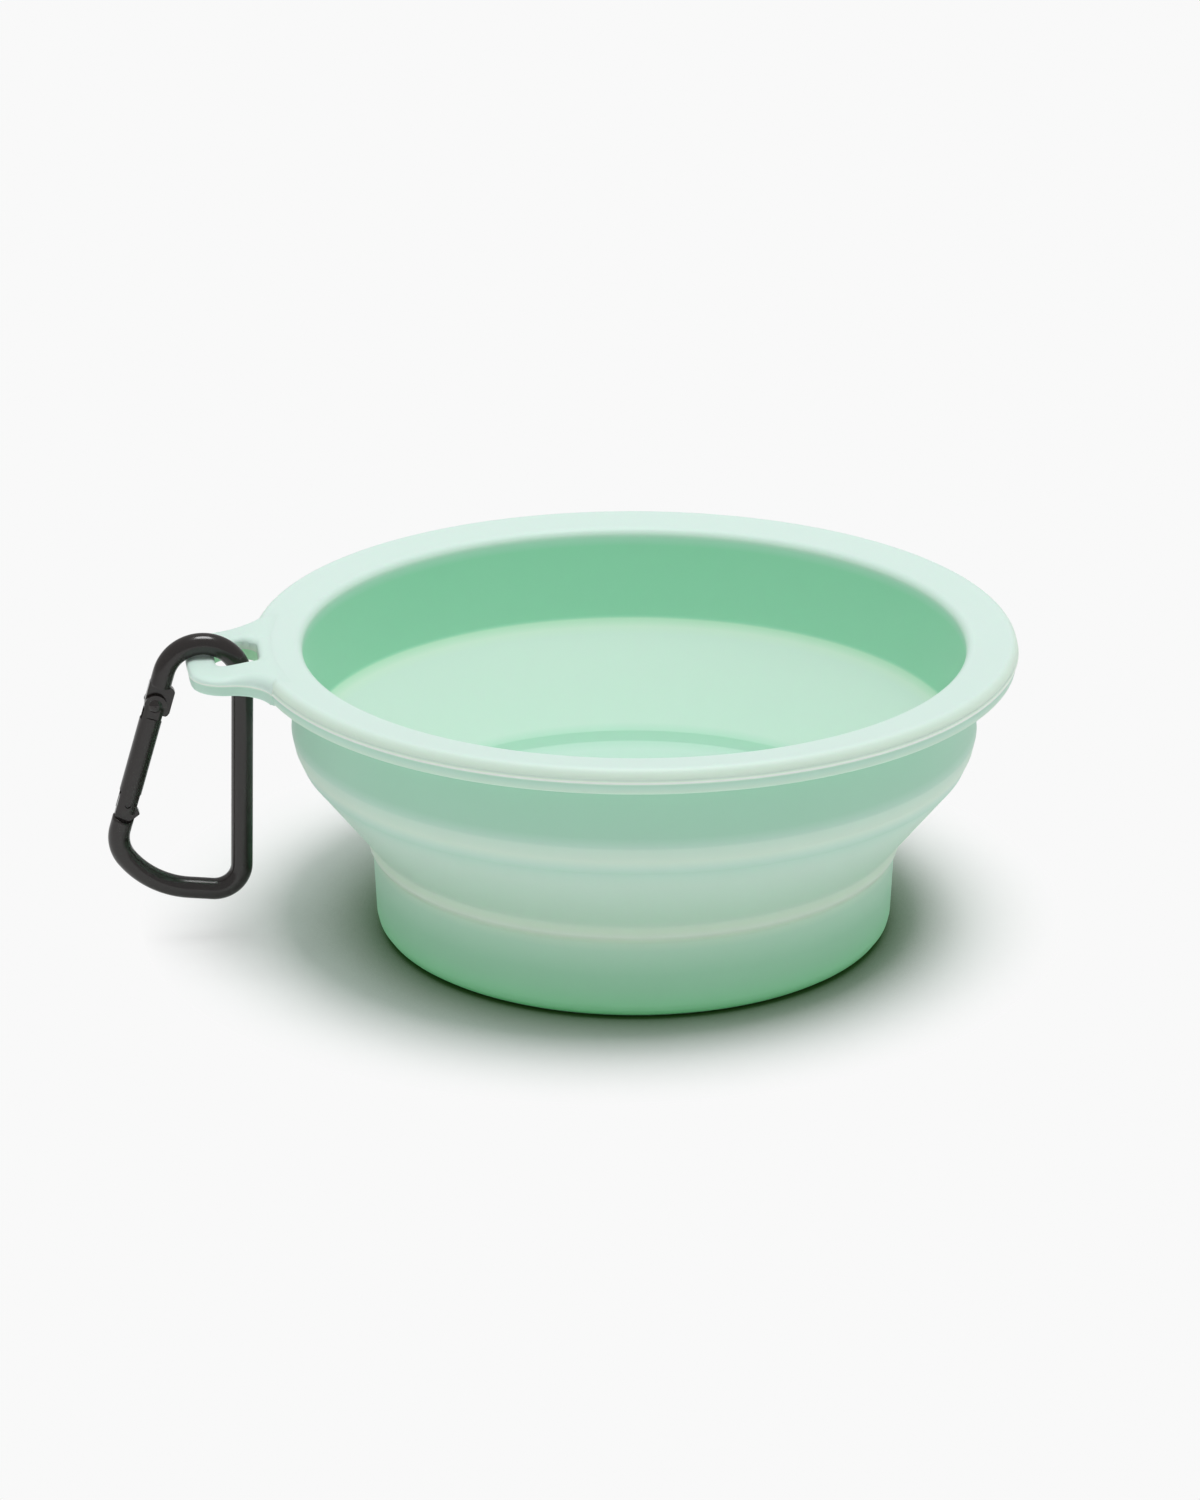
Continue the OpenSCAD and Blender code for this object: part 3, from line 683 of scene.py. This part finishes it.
def build_ear(size, material):
    """A closed ring round the slot. Along it run even steps of the outline, each joined to the slot's edge
    on the ray to the slot's middle. Across it the section goes from the slot over the top, down the outer
    edge, back underneath and up the slot's wall."""
    outline = ear_outline(size)
    root = size.ear_root
    neck_a = math.atan2(outline[0, 1], outline[0, 0])
    back_a = np.linspace(math.atan2(outline[-1, 1], outline[-1, 0]), neck_a, 40)
    # The outline, closed inside the rim along the root's circle
    hidden = np.stack([root * np.cos(back_a), root * np.sin(back_a)], axis=1)
    loop = np.vstack([outline, hidden])
    loop = np.vstack([loop, loop[:1]])
    along = np.concatenate([[0], np.cumsum(np.linalg.norm(np.diff(loop, axis=0), axis=1))])
    spot = np.linspace(0, along[-1], EAR_SPOTS, endpoint=False)
    outer = np.stack([np.interp(spot, along, loop[:, k]) for k in (0, 1)], axis=1)
    middle = np.array([(size.slot_in + size.slot_out) / 2, 0.0])
    inner = slot_edge(size, np.arctan2(*(outer - middle).T[::-1]))
    # The free edge drawn finely and run on along the rim at both ends, and the slot's edge
    dense = np.stack([np.interp(np.linspace(0, along[len(outline) - 1], 900), along, loop[:, k])
                      for k in (0, 1)], axis=1)
    past_a = neck_a + np.linspace(0, 0.12, 90)
    past = RIM_R * np.stack([np.cos(past_a), np.sin(past_a)], axis=1)
    dense = np.vstack([past[::-1], dense, past * [1, -1]])
    edge = slot_edge(size, np.linspace(0, 2 * np.pi, 360, endpoint=False))
    # Rows over the top, closer together by the slot and by the free edge
    share = np.concatenate([np.linspace(0, 0.14, 9), np.linspace(0.14, 0.84, 24)[1:-1],
                            np.linspace(0.84, 0.97, 9), np.linspace(0.97, 1, 5)[1:]])
    top = inner[:, None, :] + (outer - inner)[:, None, :] * share[None, :, None]
    height = ear_height(top, nearest(top, dense), nearest(top, edge), size)
    top3 = np.concatenate([top, PART_Z + height[..., None]], axis=-1)
    hidden_side = (np.linalg.norm(outer, axis=1) < RIM_R - 0.3)[:, None]
    outward = (outer - middle) / np.linalg.norm(outer - middle, axis=1)[:, None]
    slot_out = (inner - middle) / np.linalg.norm(inner - middle, axis=1)[:, None]

    def low_edge(flat):
        """The underside's height, lifted a little where it runs inside the rim."""
        r, side = np.linalg.norm(flat, axis=-1), np.abs(flat[..., 1])
        behind = eased(root - r, start=-0.5, over=0.25)
        beside = eased(side, start=14.4, over=1.2) * eased(RIM_R - r, start=0.2, over=0.5)
        return RIM_UNDER_Z + UNDER_LIFT * np.maximum(behind, beside)

    def wall(base, way, rows):
        """Rows of (out, up) steps from the parting line at each point, never under the underside."""
        rows = np.asarray(rows, float)
        flat = base[:, None, :] + way[:, None, :] * rows[None, :, :1]
        z = np.broadcast_to(PART_Z + rows[None, :, 1], flat.shape[:2])
        z = np.maximum(z, low_edge(base)[:, None])
        return np.concatenate([flat, z[..., None]], axis=-1)

    flash = size.rim_flash
    down = wall(outer, outward, [(0.0, -0.05), (-flash - 0.06, -0.2), (-flash - 0.1, -0.42),
                                 (-flash - 0.12, -1.0), (-flash - 0.18, -1.6), (-flash - 0.38, -1.88),
                                 (-flash - 0.7, -1.99)])
    down[..., :2] = np.where(hidden_side[..., None], outer[:, None, :], down[..., :2])
    t = np.linspace(0.04, 0.96, 14)[None, :, None]
    low_out = down[:, -1, :2][:, None, :]
    low_in = (inner + slot_out * SLOT_FLARE)[:, None, :]
    flat = low_out + (low_in - low_out) * t
    bottom = np.concatenate([flat, low_edge(flat)[..., None]], axis=-1)
    up = wall(inner, slot_out, [(SLOT_FLARE, -RIM_BELOW), (0.14, -1.88), (0.03, -1.6), (0.0, -0.95),
                                (0.0, -0.1), (-0.05, 0.0), (-0.05, 0.1), (0.0, 0.2)])
    ring = np.concatenate([top3, down, bottom, up], axis=1)
    rows, columns = ring.shape[:2]
    points = ring.reshape(-1, 3) * [-1, 1, 1]
    # Painted light and shade in tone and depth: a painted highlight on the moulding line of the free edge,
    # painted light on the slot's wall with a painted highlight along its top and a painted green glow lower
    # down, the bare top, and painted shade down the outer edge
    over, fall, rise = len(share), down.shape[1], up.shape[1]
    tone = np.zeros((rows, columns))
    tone[:, over - 2:over + 3] = [0.5, 1.8, 1.8, 0.3, -0.2]
    tone = np.where(hidden_side, 0.0, tone)
    tone[:, -rise:] = [0.7, 0.7, 0.8, 0.8, 0.8, 0.8, 1.7, 0.8]
    depth = np.full((rows, columns), 0.5)
    depth[:, -rise:] = [1.5, 1.5, 1.6, 1.6, 1.6, 1.4, 0.3, 0.1]
    depth[:, :over] = 0.04
    depth[:, over:over + fall] = 0.3
    faces = grid_faces(rows, columns, closed_rows=True, closed_columns=True)
    ear = add_mesh("hanging_ear_skin", points, faces, "rim", material,
                   {"tone": tone.reshape(-1), "depth": depth.reshape(-1)}, EAR_SHARP)
    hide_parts("hanging_ear")
    return ear


# The carabiner

def heading(degrees):
    """The unit direction at an angle."""
    return np.array([math.cos(math.radians(degrees)), math.sin(math.radians(degrees))])


def stand_up(flat, depth, tilt):
    """Points of the carabiner's flat drawing, outwards and up from its arch's middle, in the row frame:
    turned by the hanging lean, then x = arch - across, y = depth, z = arch + up."""
    c, s = math.cos(math.radians(tilt)), math.sin(math.radians(tilt))
    across = flat[..., 0] * c - flat[..., 1] * s
    up = flat[..., 0] * s + flat[..., 1] * c
    middle = np.array(SWING["pos_m"]) / MM
    return np.stack([middle[0] - across, np.broadcast_to(depth, across.shape), middle[2] + up], axis=-1)


def rod_course(start, way, steps, pitch=ROD_PITCH):
    """The middle of a bent rod: straight stretches (length, 0, 0) and left-hand bends (0, radius, turn),
    each starting in the direction where the last one ended. Returns points and directions."""
    points, ways = [np.array(start, float)[None]], [np.array([way], float)]
    here = np.array(start, float)
    for run, bend, turn in steps:
        if turn == 0:
            n = max(int(run / pitch), 2)
            t = np.linspace(0, run, n + 1)[1:]
            points.append(here + t[:, None] * heading(way))
            ways.append(np.full(n, way))
        else:
            n = max(int(math.radians(turn) * bend / pitch), 4)
            t = np.linspace(0, turn, n + 1)[1:]
            centre = here + bend * heading(way + 90)
            a = np.radians(way - 90 + t)
            points.append(centre + bend * np.stack([np.cos(a), np.sin(a)], axis=1))
            ways.append(way + t)
            way += turn
        here = points[-1][-1]
    return np.vstack(points), np.concatenate(ways)


def sweep(points, ways, radii, ends, sides=ROD_SIDES):
    """A round skin about the course: point + radius * (cos b * side + sin b * depth). ends moves some rings
    along the course, as a function of how far a point lies across the rod from its middle."""
    b = np.linspace(0, 2 * np.pi, sides, endpoint=False)
    ways = np.radians(ways)
    side = np.stack([np.sin(ways), -np.cos(ways)], axis=1)
    along = np.stack([np.cos(ways), np.sin(ways)], axis=1)
    flat = points[:, None, :] + side[:, None, :] * (radii[:, None] * np.cos(b))[..., None]
    depth = radii[:, None] * np.sin(b)
    shift = np.zeros((len(points), sides))
    for index, rule in ends.items():
        shift[index] = rule(radii[index] * np.cos(b))
    flat = flat + along[:, None, :] * shift[..., None]
    return flat, depth


def build_rod(size, material):
    """The frame's bent rod, with a square shoulder at the hinge and a scooped one under the gate's end."""
    lean = size.gate_lean
    across, down = heading(lean), heading(lean - 90)
    r = size.rod / 2
    steps = [(size.shoulder, 0, 0), (0, size.arch_r, 180 - lean), (size.leg, 0, 0), (0, *HEEL),
             (size.sole, 0, 0), (0, *TOE), (0, LAST_BEND_R, 180 + lean - HEEL[1] - TOE[1]),
             (size.nose, 0, 0)]
    points, ways = rod_course(size.arch_r * across + size.shoulder * down, 90 + lean, steps)
    n = len(points)
    # The square end at the hinge, from its middle out: each ring's radius and its place along the rod
    start_r = np.array([CLOSED_R, r - 0.28, r - 0.07, r])
    lead = points[0] + np.array([0.0, 0.0, 0.06, 0.26])[:, None] * heading(90 + lean)
    end_way = ways[-1]
    # The hollow end under the gate, from its edge in: each ring's place back from the end and its radius
    tail = points[-1] - np.array([0.3, 0.1, 0.0, 0.02, 0.2])[:, None] * heading(end_way)
    tail_r = np.array([r, r - 0.06, r - 0.22, r * 0.6, CLOSED_R])
    keep = slice(1, n - 1)
    points = np.vstack([lead, points[keep], tail])
    ways = np.concatenate([np.full(4, 90 + lean), ways[keep], np.full(5, end_way)])
    radii = np.concatenate([start_r, np.full(n - 2, r), tail_r])

    def scoop(x):
        """The hollow: two parabolas that meet at its deepest point, off the middle towards the loop. Each
        rises by its lip's height to the rod's side."""
        low_at, loop_lip, outer_lip, sunk = 0.4, 1.3, 0.8, 0.25
        from_low = x / r + low_at
        return np.where(from_low > 0, outer_lip * (from_low / (1 + low_at)) ** 2,
                        loop_lip * (from_low / (1 - low_at)) ** 2) - sunk

    ends = {len(radii) - k: scoop for k in (1, 2, 3, 4, 5)}
    flat, depth = sweep(points, ways, radii, ends)
    space = stand_up(flat, depth, size.hang_tilt)
    rows, columns = space.shape[:2]
    faces = grid_faces(rows, columns, closed_columns=True).tolist()
    faces.append(list(range(columns))[::-1])
    faces.append([(rows - 1) * columns + k for k in range(columns)])
    rod = add_mesh("carabiner_rod", space.reshape(-1, 3), [f[::-1] for f in faces], "carabiner", material,
                   sharp_angle=ROD_SHARP)
    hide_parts("carabiner_frame")
    return rod


def build_plate(name, outline, size, material):
    """A flat plate in the gate's middle plane from an outline (across, down the gate from the rivet), its
    edges rounded by a bevel."""
    lean = size.gate_lean
    across, down = heading(lean), heading(lean - 90)
    outline = np.asarray(outline, float)
    rivet = size.arch_r * across + (size.shoulder + size.rivet_drop) * down
    flat = rivet + outline[:, :1] * across + outline[:, 1:] * down
    n = len(flat)
    front = stand_up(flat, -PLATE_T / 2, size.hang_tilt)
    back = stand_up(flat, PLATE_T / 2, size.hang_tilt)
    area = np.sum(outline[:, 0] * np.roll(outline[:, 1], -1) - np.roll(outline[:, 0], -1) * outline[:, 1])
    ring = list(range(n))
    faces = [ring, [n + k for k in ring][::-1]]
    faces += [[k, n + k, n + (k + 1) % n, (k + 1) % n] for k in ring]
    if area < 0:
        faces = [f[::-1] for f in faces]
    plate = add_mesh(name, np.vstack([front, back]), faces, "carabiner", material,
                     sharp_angle=PLATE_SHARP)
    bevel = plate.modifiers.new("edge", "BEVEL")
    bevel.width = PLATE_BEVEL * MM
    bevel.segments = 2
    bevel.limit_method = "ANGLE"
    bevel.angle_limit = math.radians(BEVEL_SHARP)
    return plate


def arc(x, y, r, start, stop, n):
    """Points on a circle between two angles in degrees."""
    a = np.radians(np.linspace(start, stop, n))
    return np.stack([x + r * np.cos(a), y + r * np.sin(a)], axis=1)


def tongue_outline(size):
    """The hinge tongue: straight under the shoulder, rounded off outside the rivet, square towards the
    loop."""
    g = size.gate / 2
    top = -size.rivet_drop - TONGUE_SUNK
    return np.vstack([
        [[0.98 * g, top], [0.98 * g, 0.0], [0.9 * g, 0.3 * g]],
        arc(0.35 * g, 0.35 * g, 0.55 * g, 0, 90, 6),
        [[-1.16 * g, 0.9 * g], [-1.3 * g, 0.78 * g], [-1.42 * g, 0.5 * g], [-1.42 * g, -1.5 * g],
         [-1.2 * g, -1.75 * g], [-0.9 * g, -1.9 * g], [-0.9 * g, top]],
    ])


def nose_outline(size):
    """The nose: a plate with a notch, open towards the loop, that the latch pin lies in, and a guard
    point."""
    g = size.gate / 2
    pin = size.gate_length - PIN_UP
    rod_end = size.gate_length + ROD_DOWN
    return np.vstack([
        [[0.85 * g, rod_end + PLATE_SUNK], [0.85 * g, pin - 0.85], [0.42 * g, pin - GUARD_UP],
         [-0.35 * g, pin - GUARD_UP], [-0.7 * g, pin - 1.0], [-0.7 * g, pin - NOTCH_R]],
        arc(0, pin, NOTCH_R, 270, 450, 12),
        [[-0.93 * g, pin + NOTCH_R], [-g - 0.1, pin + 0.8], [-g - 0.6, pin + 1.5], [-0.7 * g, rod_end],
         [-0.7 * g, rod_end + PLATE_SUNK]],
    ])


# Settings

def length(name, value, description):
    """A setting in millimetres."""
    return bpy.props.FloatProperty(name=name, default=value, description=description + ", in millimetres",
                                   min=0.0, unit="NONE", subtype="DISTANCE")


def shade(name, value, description):
    """A setting that is a colour."""
    return bpy.props.FloatVectorProperty(name=name, default=value, description=description, subtype="COLOR",
                                         size=3, min=0.0, max=1.0)


def factor(name, value, description):
    """A setting between 0 and 1."""
    return bpy.props.FloatProperty(name=name, default=value, description=description, min=0.0, max=1.0,
                                   subtype="FACTOR")


class BowlSizes(bpy.types.PropertyGroup):
    rim_width: length("Rim width", 8.8, "Width of the rim, from its edge to the opening")
    rim_crown: length("Rim crown", 2.2, "Height of the rim's crown over the parting line")
    rim_fall: length("Rim fall", 0.8, "How far the rim's top falls towards the opening")
    rim_edge: length("Rim edge", 1.5, "Width of the rim's rounded outer edge")
    lip_round: length("Lip radius", 1.4, "Radius of the rim's rounded inner lip")
    rim_flash: length("Parting ridge", 0.14, "How far the moulding line stands out from the rim")
    ear_root: length("Ear root", 61.4, "Distance from the bowl's axis at which the ear grows out of the rim")
    ear_tip: length("Ear tip", 75.9, "Distance of the ear's end from the bowl's axis")
    ear_width: length("Ear width", 24.6, "Width of the ear")
    ear_corner: length("Ear corner", 6.0, "Radius of the ear's outer corners")
    ear_neck: length("Ear neck", 7.0, "Radius of the hollow where the ear meets the rim")
    ear_crown: length("Ear crown", 1.0, "Height of the ear over its parting line")
    ear_shoulder: length("Ear shoulder", 2.1, "Height of the ear's two side bars over the parting line")
    ear_round: length("Ear edge", 1.7, "Width of the ear's rounded edge")
    slot_in: length("Slot inner edge", 63.7, "Distance of the slot's inner edge from the bowl's axis")
    slot_out: length("Slot outer edge", 71.1, "Distance of the slot's outer edge from the bowl's axis")
    slot_length: length("Slot length", 11.2, "Length of the slot along the rim")
    slot_corner: length("Slot corner", 3.0, "Radius of the slot's corners")


class CarabinerSizes(bpy.types.PropertyGroup):
    rod: length("Rod", 3.7, "Diameter of the bent rod")
    gate: length("Gate", 3.8, "Diameter of the gate")
    gate_length: length("Gate length", 19.91, "Length of the gate below the rivet")
    arch_r: length("Arch", 6.7, "Bend radius of the arch at the rod's middle")
    shoulder: length("Shoulder", 2.5, "Straight stretch between the arch and the hinge")
    rivet_drop: length("Rivet", 3.2, "Distance from the shoulder down to the rivet")
    leg: length("Leg", 33.2, "Length of the straight leg")
    sole: length("Sole", 3.99, "Length of the straight stretch at the bottom")
    nose: length("Nose", 1.95, "Straight stretch between the toe and the nose")
    gate_lean: bpy.props.FloatProperty(name="Gate lean", default=14.9, min=0.0, max=30.0,
                                       description="Lean of the gate from the leg, in degrees")
    hang_tilt: bpy.props.FloatProperty(name="Hanging lean", default=1.7, min=0.0, max=10.0,
                                       description="Lean of the hanging carabiner from upright, in degrees")


class BowlLooks(bpy.types.PropertyGroup):
    silicone: shade("Silicone", (0.71, 0.88, 0.81), "Colour of the bare silicone")
    # Painted shade and through-light on shut-in walls, in a deeper green
    silicone_painted_shade: shade("Silicone in painted shade", (0.35, 0.79, 0.53), "Colour of silicone that light comes through")
    # Painted light on lit edges, folds and the slot's wall
    silicone_painted_light: shade("Painted light on silicone", (0.79, 0.97, 0.77), "Colour of the silicone on thin edges")
    # Painted glow at the foot and the slot's wall, given out as emission
    silicone_painted_glow: shade("Gathered light", (0.0, 0.12, 0.02), "Light given back at the foot and the slot")
    # Painted highlight on the thin moulding line
    silicone_painted_highlight: shade("Moulding line", (0.92, 0.98, 0.95), "Colour of the thin moulding line")
    # Painted shade in creases
    silicone_painted_crease_shade: shade("Painted shade in creases", (0.30, 0.62, 0.45), "Colour of the silicone in creases")
    silicone_rough: factor("Silicone roughness", 0.52, "Roughness of the silicone")
    silicone_glow: factor("Silicone depth", 0.12, "How much light passes through the silicone's skin")
    coating: shade("Coating", (0.017, 0.013, 0.012), "Colour of the carabiner's coating")
    coating_rough: factor("Coating roughness", 0.2, "Roughness of the carabiner's coating")
    steel: shade("Steel", (0.50, 0.50, 0.51), "Colour of the spring and plunger")
    paper: shade("Paper", (0.93, 0.93, 0.93), "Colour of the studio floor")
    paper_shade: shade("Shaded paper", (0.05, 0.12, 0.03), "Colour of the floor beside what stands on it")
    shade_reach: length("Shade reach", 22.0, "How far that colour reaches from what stands on the floor")
    backdrop: shade("Backdrop", (0.947, 0.947, 0.947), "Tone of the lit backdrop")
    sweep_start: length("Sweep start", 54.0, "Distance from the bowl's middle where the backdrop begins")
    sweep_end: length("Sweep end", 80.0, "Distance from the bowl's middle where the backdrop is even")
    key_power: bpy.props.FloatProperty(name="Key light", default=14.0, min=0.0, unit="POWER",
                                       description="Power of the top light")
    sky: factor("Room light", 0.465, "Strength of the even light of the room")


def material_of(name, maker):
    """The named material, made once."""
    return bpy.data.materials.get(name) or maker(bpy.context.scene.bowl_looks)


# Operators

class BowlSkin(bpy.types.Operator):
    """Build the bowl's silicone skin between the rim and the base"""
    bl_idname = "bowl.skin"
    bl_label = "Bowl skin"

    def execute(self, context):
        build_skin(context.scene.bowl_sizes, material_of("mint_silicone", silicone_paint))
        return {"FINISHED"}


class BowlEar(bpy.types.Operator):
    """Build the slotted ear on the rim"""
    bl_idname = "bowl.ear"
    bl_label = "Hanging ear"

    def execute(self, context):
        build_ear(context.scene.bowl_sizes, material_of("mint_silicone", silicone_paint))
        return {"FINISHED"}


class CarabinerFrame(bpy.types.Operator):
    """Build the carabiner's bent rod, hinge tongue and nose"""
    bl_idname = "bowl.carabiner_frame"
    bl_label = "Carabiner frame"

    def execute(self, context):
        size = context.scene.carabiner_sizes
        black = material_of("black_coating", black_paint)
        build_rod(size, black)
        build_plate("hinge_tongue", tongue_outline(size), size, black)
        build_plate("latch_nose", nose_outline(size), size, black)
        return {"FINISHED"}


class CarabinerGate(bpy.types.Operator):
    """Finish the gate, its rivet, latch pin, spring and plunger"""
    bl_idname = "bowl.carabiner_gate"
    bl_label = "Carabiner gate"

    def execute(self, context):
        black = material_of("black_coating", black_paint)
        steel = material_of("drawn_steel", steel_paint)
        polished = material_of("polished_black", polished_paint)
        for node, material in (("carabiner_gate", black), ("hinge_rivet", polished), ("latch_pin", black),
                               ("gate_spring", steel), ("spring_plunger", steel)):
            piece = frame["nodes"][node]
            piece.data.materials.clear()
            piece.data.materials.append(material)
        return {"FINISHED"}


class BowlStudio(bpy.types.Operator):
    """Lay the pale floor, hang the soft light and set the camera"""
    bl_idname = "bowl.studio"
    bl_label = "Studio"

    def execute(self, context):
        look = context.scene.bowl_looks
        half = FLOOR_HALF
        corners = [[-half, -half, 0], [half, -half, 0], [half, half, 0], [-half, half, 0]]
        floor = add_mesh("studio_floor", corners, [[0, 1, 2, 3]], None, floor_paint(look))
        context.scene.world = room_light(look)
        self.soft_box("top_light", LAMP_PLACE, LAMP_TARGET, LAMP_SIDE, look.key_power)
        self.aim_camera(context)
        context.scene.view_settings.view_transform = "Standard"
        return {"FINISHED"}

    def soft_box(self, name, place, target, side, power):
        """A square lamp at a place, turned to face a target."""
        light = bpy.data.lights.new(name, "AREA")
        light.shape = "SQUARE"
        light.size = side
        light.energy = power
        lamp = bpy.data.objects.new(name, light)
        bpy.context.scene.collection.objects.link(lamp)
        lamp.location = place
        way = np.array(target) - np.array(place)
        flat = math.hypot(way[0], way[1])
        lamp.rotation_euler = (math.atan2(flat, -way[2]), 0.0, math.atan2(way[1], way[0]) - math.pi / 2)

    def aim_camera(self, context):
        """The camera, where the photograph's edges say it stood."""
        lens = bpy.data.cameras.new("photo_camera")
        lens.sensor_width = PHOTO_FILM
        lens.lens = PHOTO_LENS
        lens.clip_end = PHOTO_SIGHT
        camera = bpy.data.objects.new("photo_camera", lens)
        context.scene.collection.objects.link(camera)
        camera.location = PHOTO_PLACE
        camera.rotation_euler = tuple(math.radians(turn) for turn in PHOTO_TURN)
        context.scene.camera = camera


class BowlPanel(bpy.types.Panel):
    bl_label = "Collapsible bowl"
    bl_idname = "VIEW3D_PT_collapsible_bowl"
    bl_space_type = "VIEW_3D"
    bl_region_type = "UI"
    bl_category = "Bowl"

    def draw(self, context):
        column = self.layout.column()
        for step in (BowlSkin, BowlEar, CarabinerFrame, CarabinerGate, BowlStudio):
            column.operator(step.bl_idname)
        for group in (context.scene.bowl_sizes, context.scene.carabiner_sizes, context.scene.bowl_looks):
            for name in group.__annotations__:
                column.prop(group, name)


CLASSES = (BowlSizes, CarabinerSizes, BowlLooks, BowlSkin, BowlEar, CarabinerFrame, CarabinerGate,
           BowlStudio, BowlPanel)


def register():
    """Add the classes and the scene's settings."""
    for kind in CLASSES:
        bpy.utils.register_class(kind)
    bpy.types.Scene.bowl_sizes = bpy.props.PointerProperty(type=BowlSizes)
    bpy.types.Scene.carabiner_sizes = bpy.props.PointerProperty(type=CarabinerSizes)
    bpy.types.Scene.bowl_looks = bpy.props.PointerProperty(type=BowlLooks)


def unregister():
    """Take them away again."""
    del bpy.types.Scene.bowl_looks
    del bpy.types.Scene.carabiner_sizes
    del bpy.types.Scene.bowl_sizes
    for kind in reversed(CLASSES):
        bpy.utils.unregister_class(kind)


def main():
    register()
    bpy.ops.bowl.skin()
    bpy.ops.bowl.ear()
    bpy.ops.bowl.carabiner_frame()
    bpy.ops.bowl.carabiner_gate()
    bpy.ops.bowl.studio()


if __name__ == "__main__":
    main()
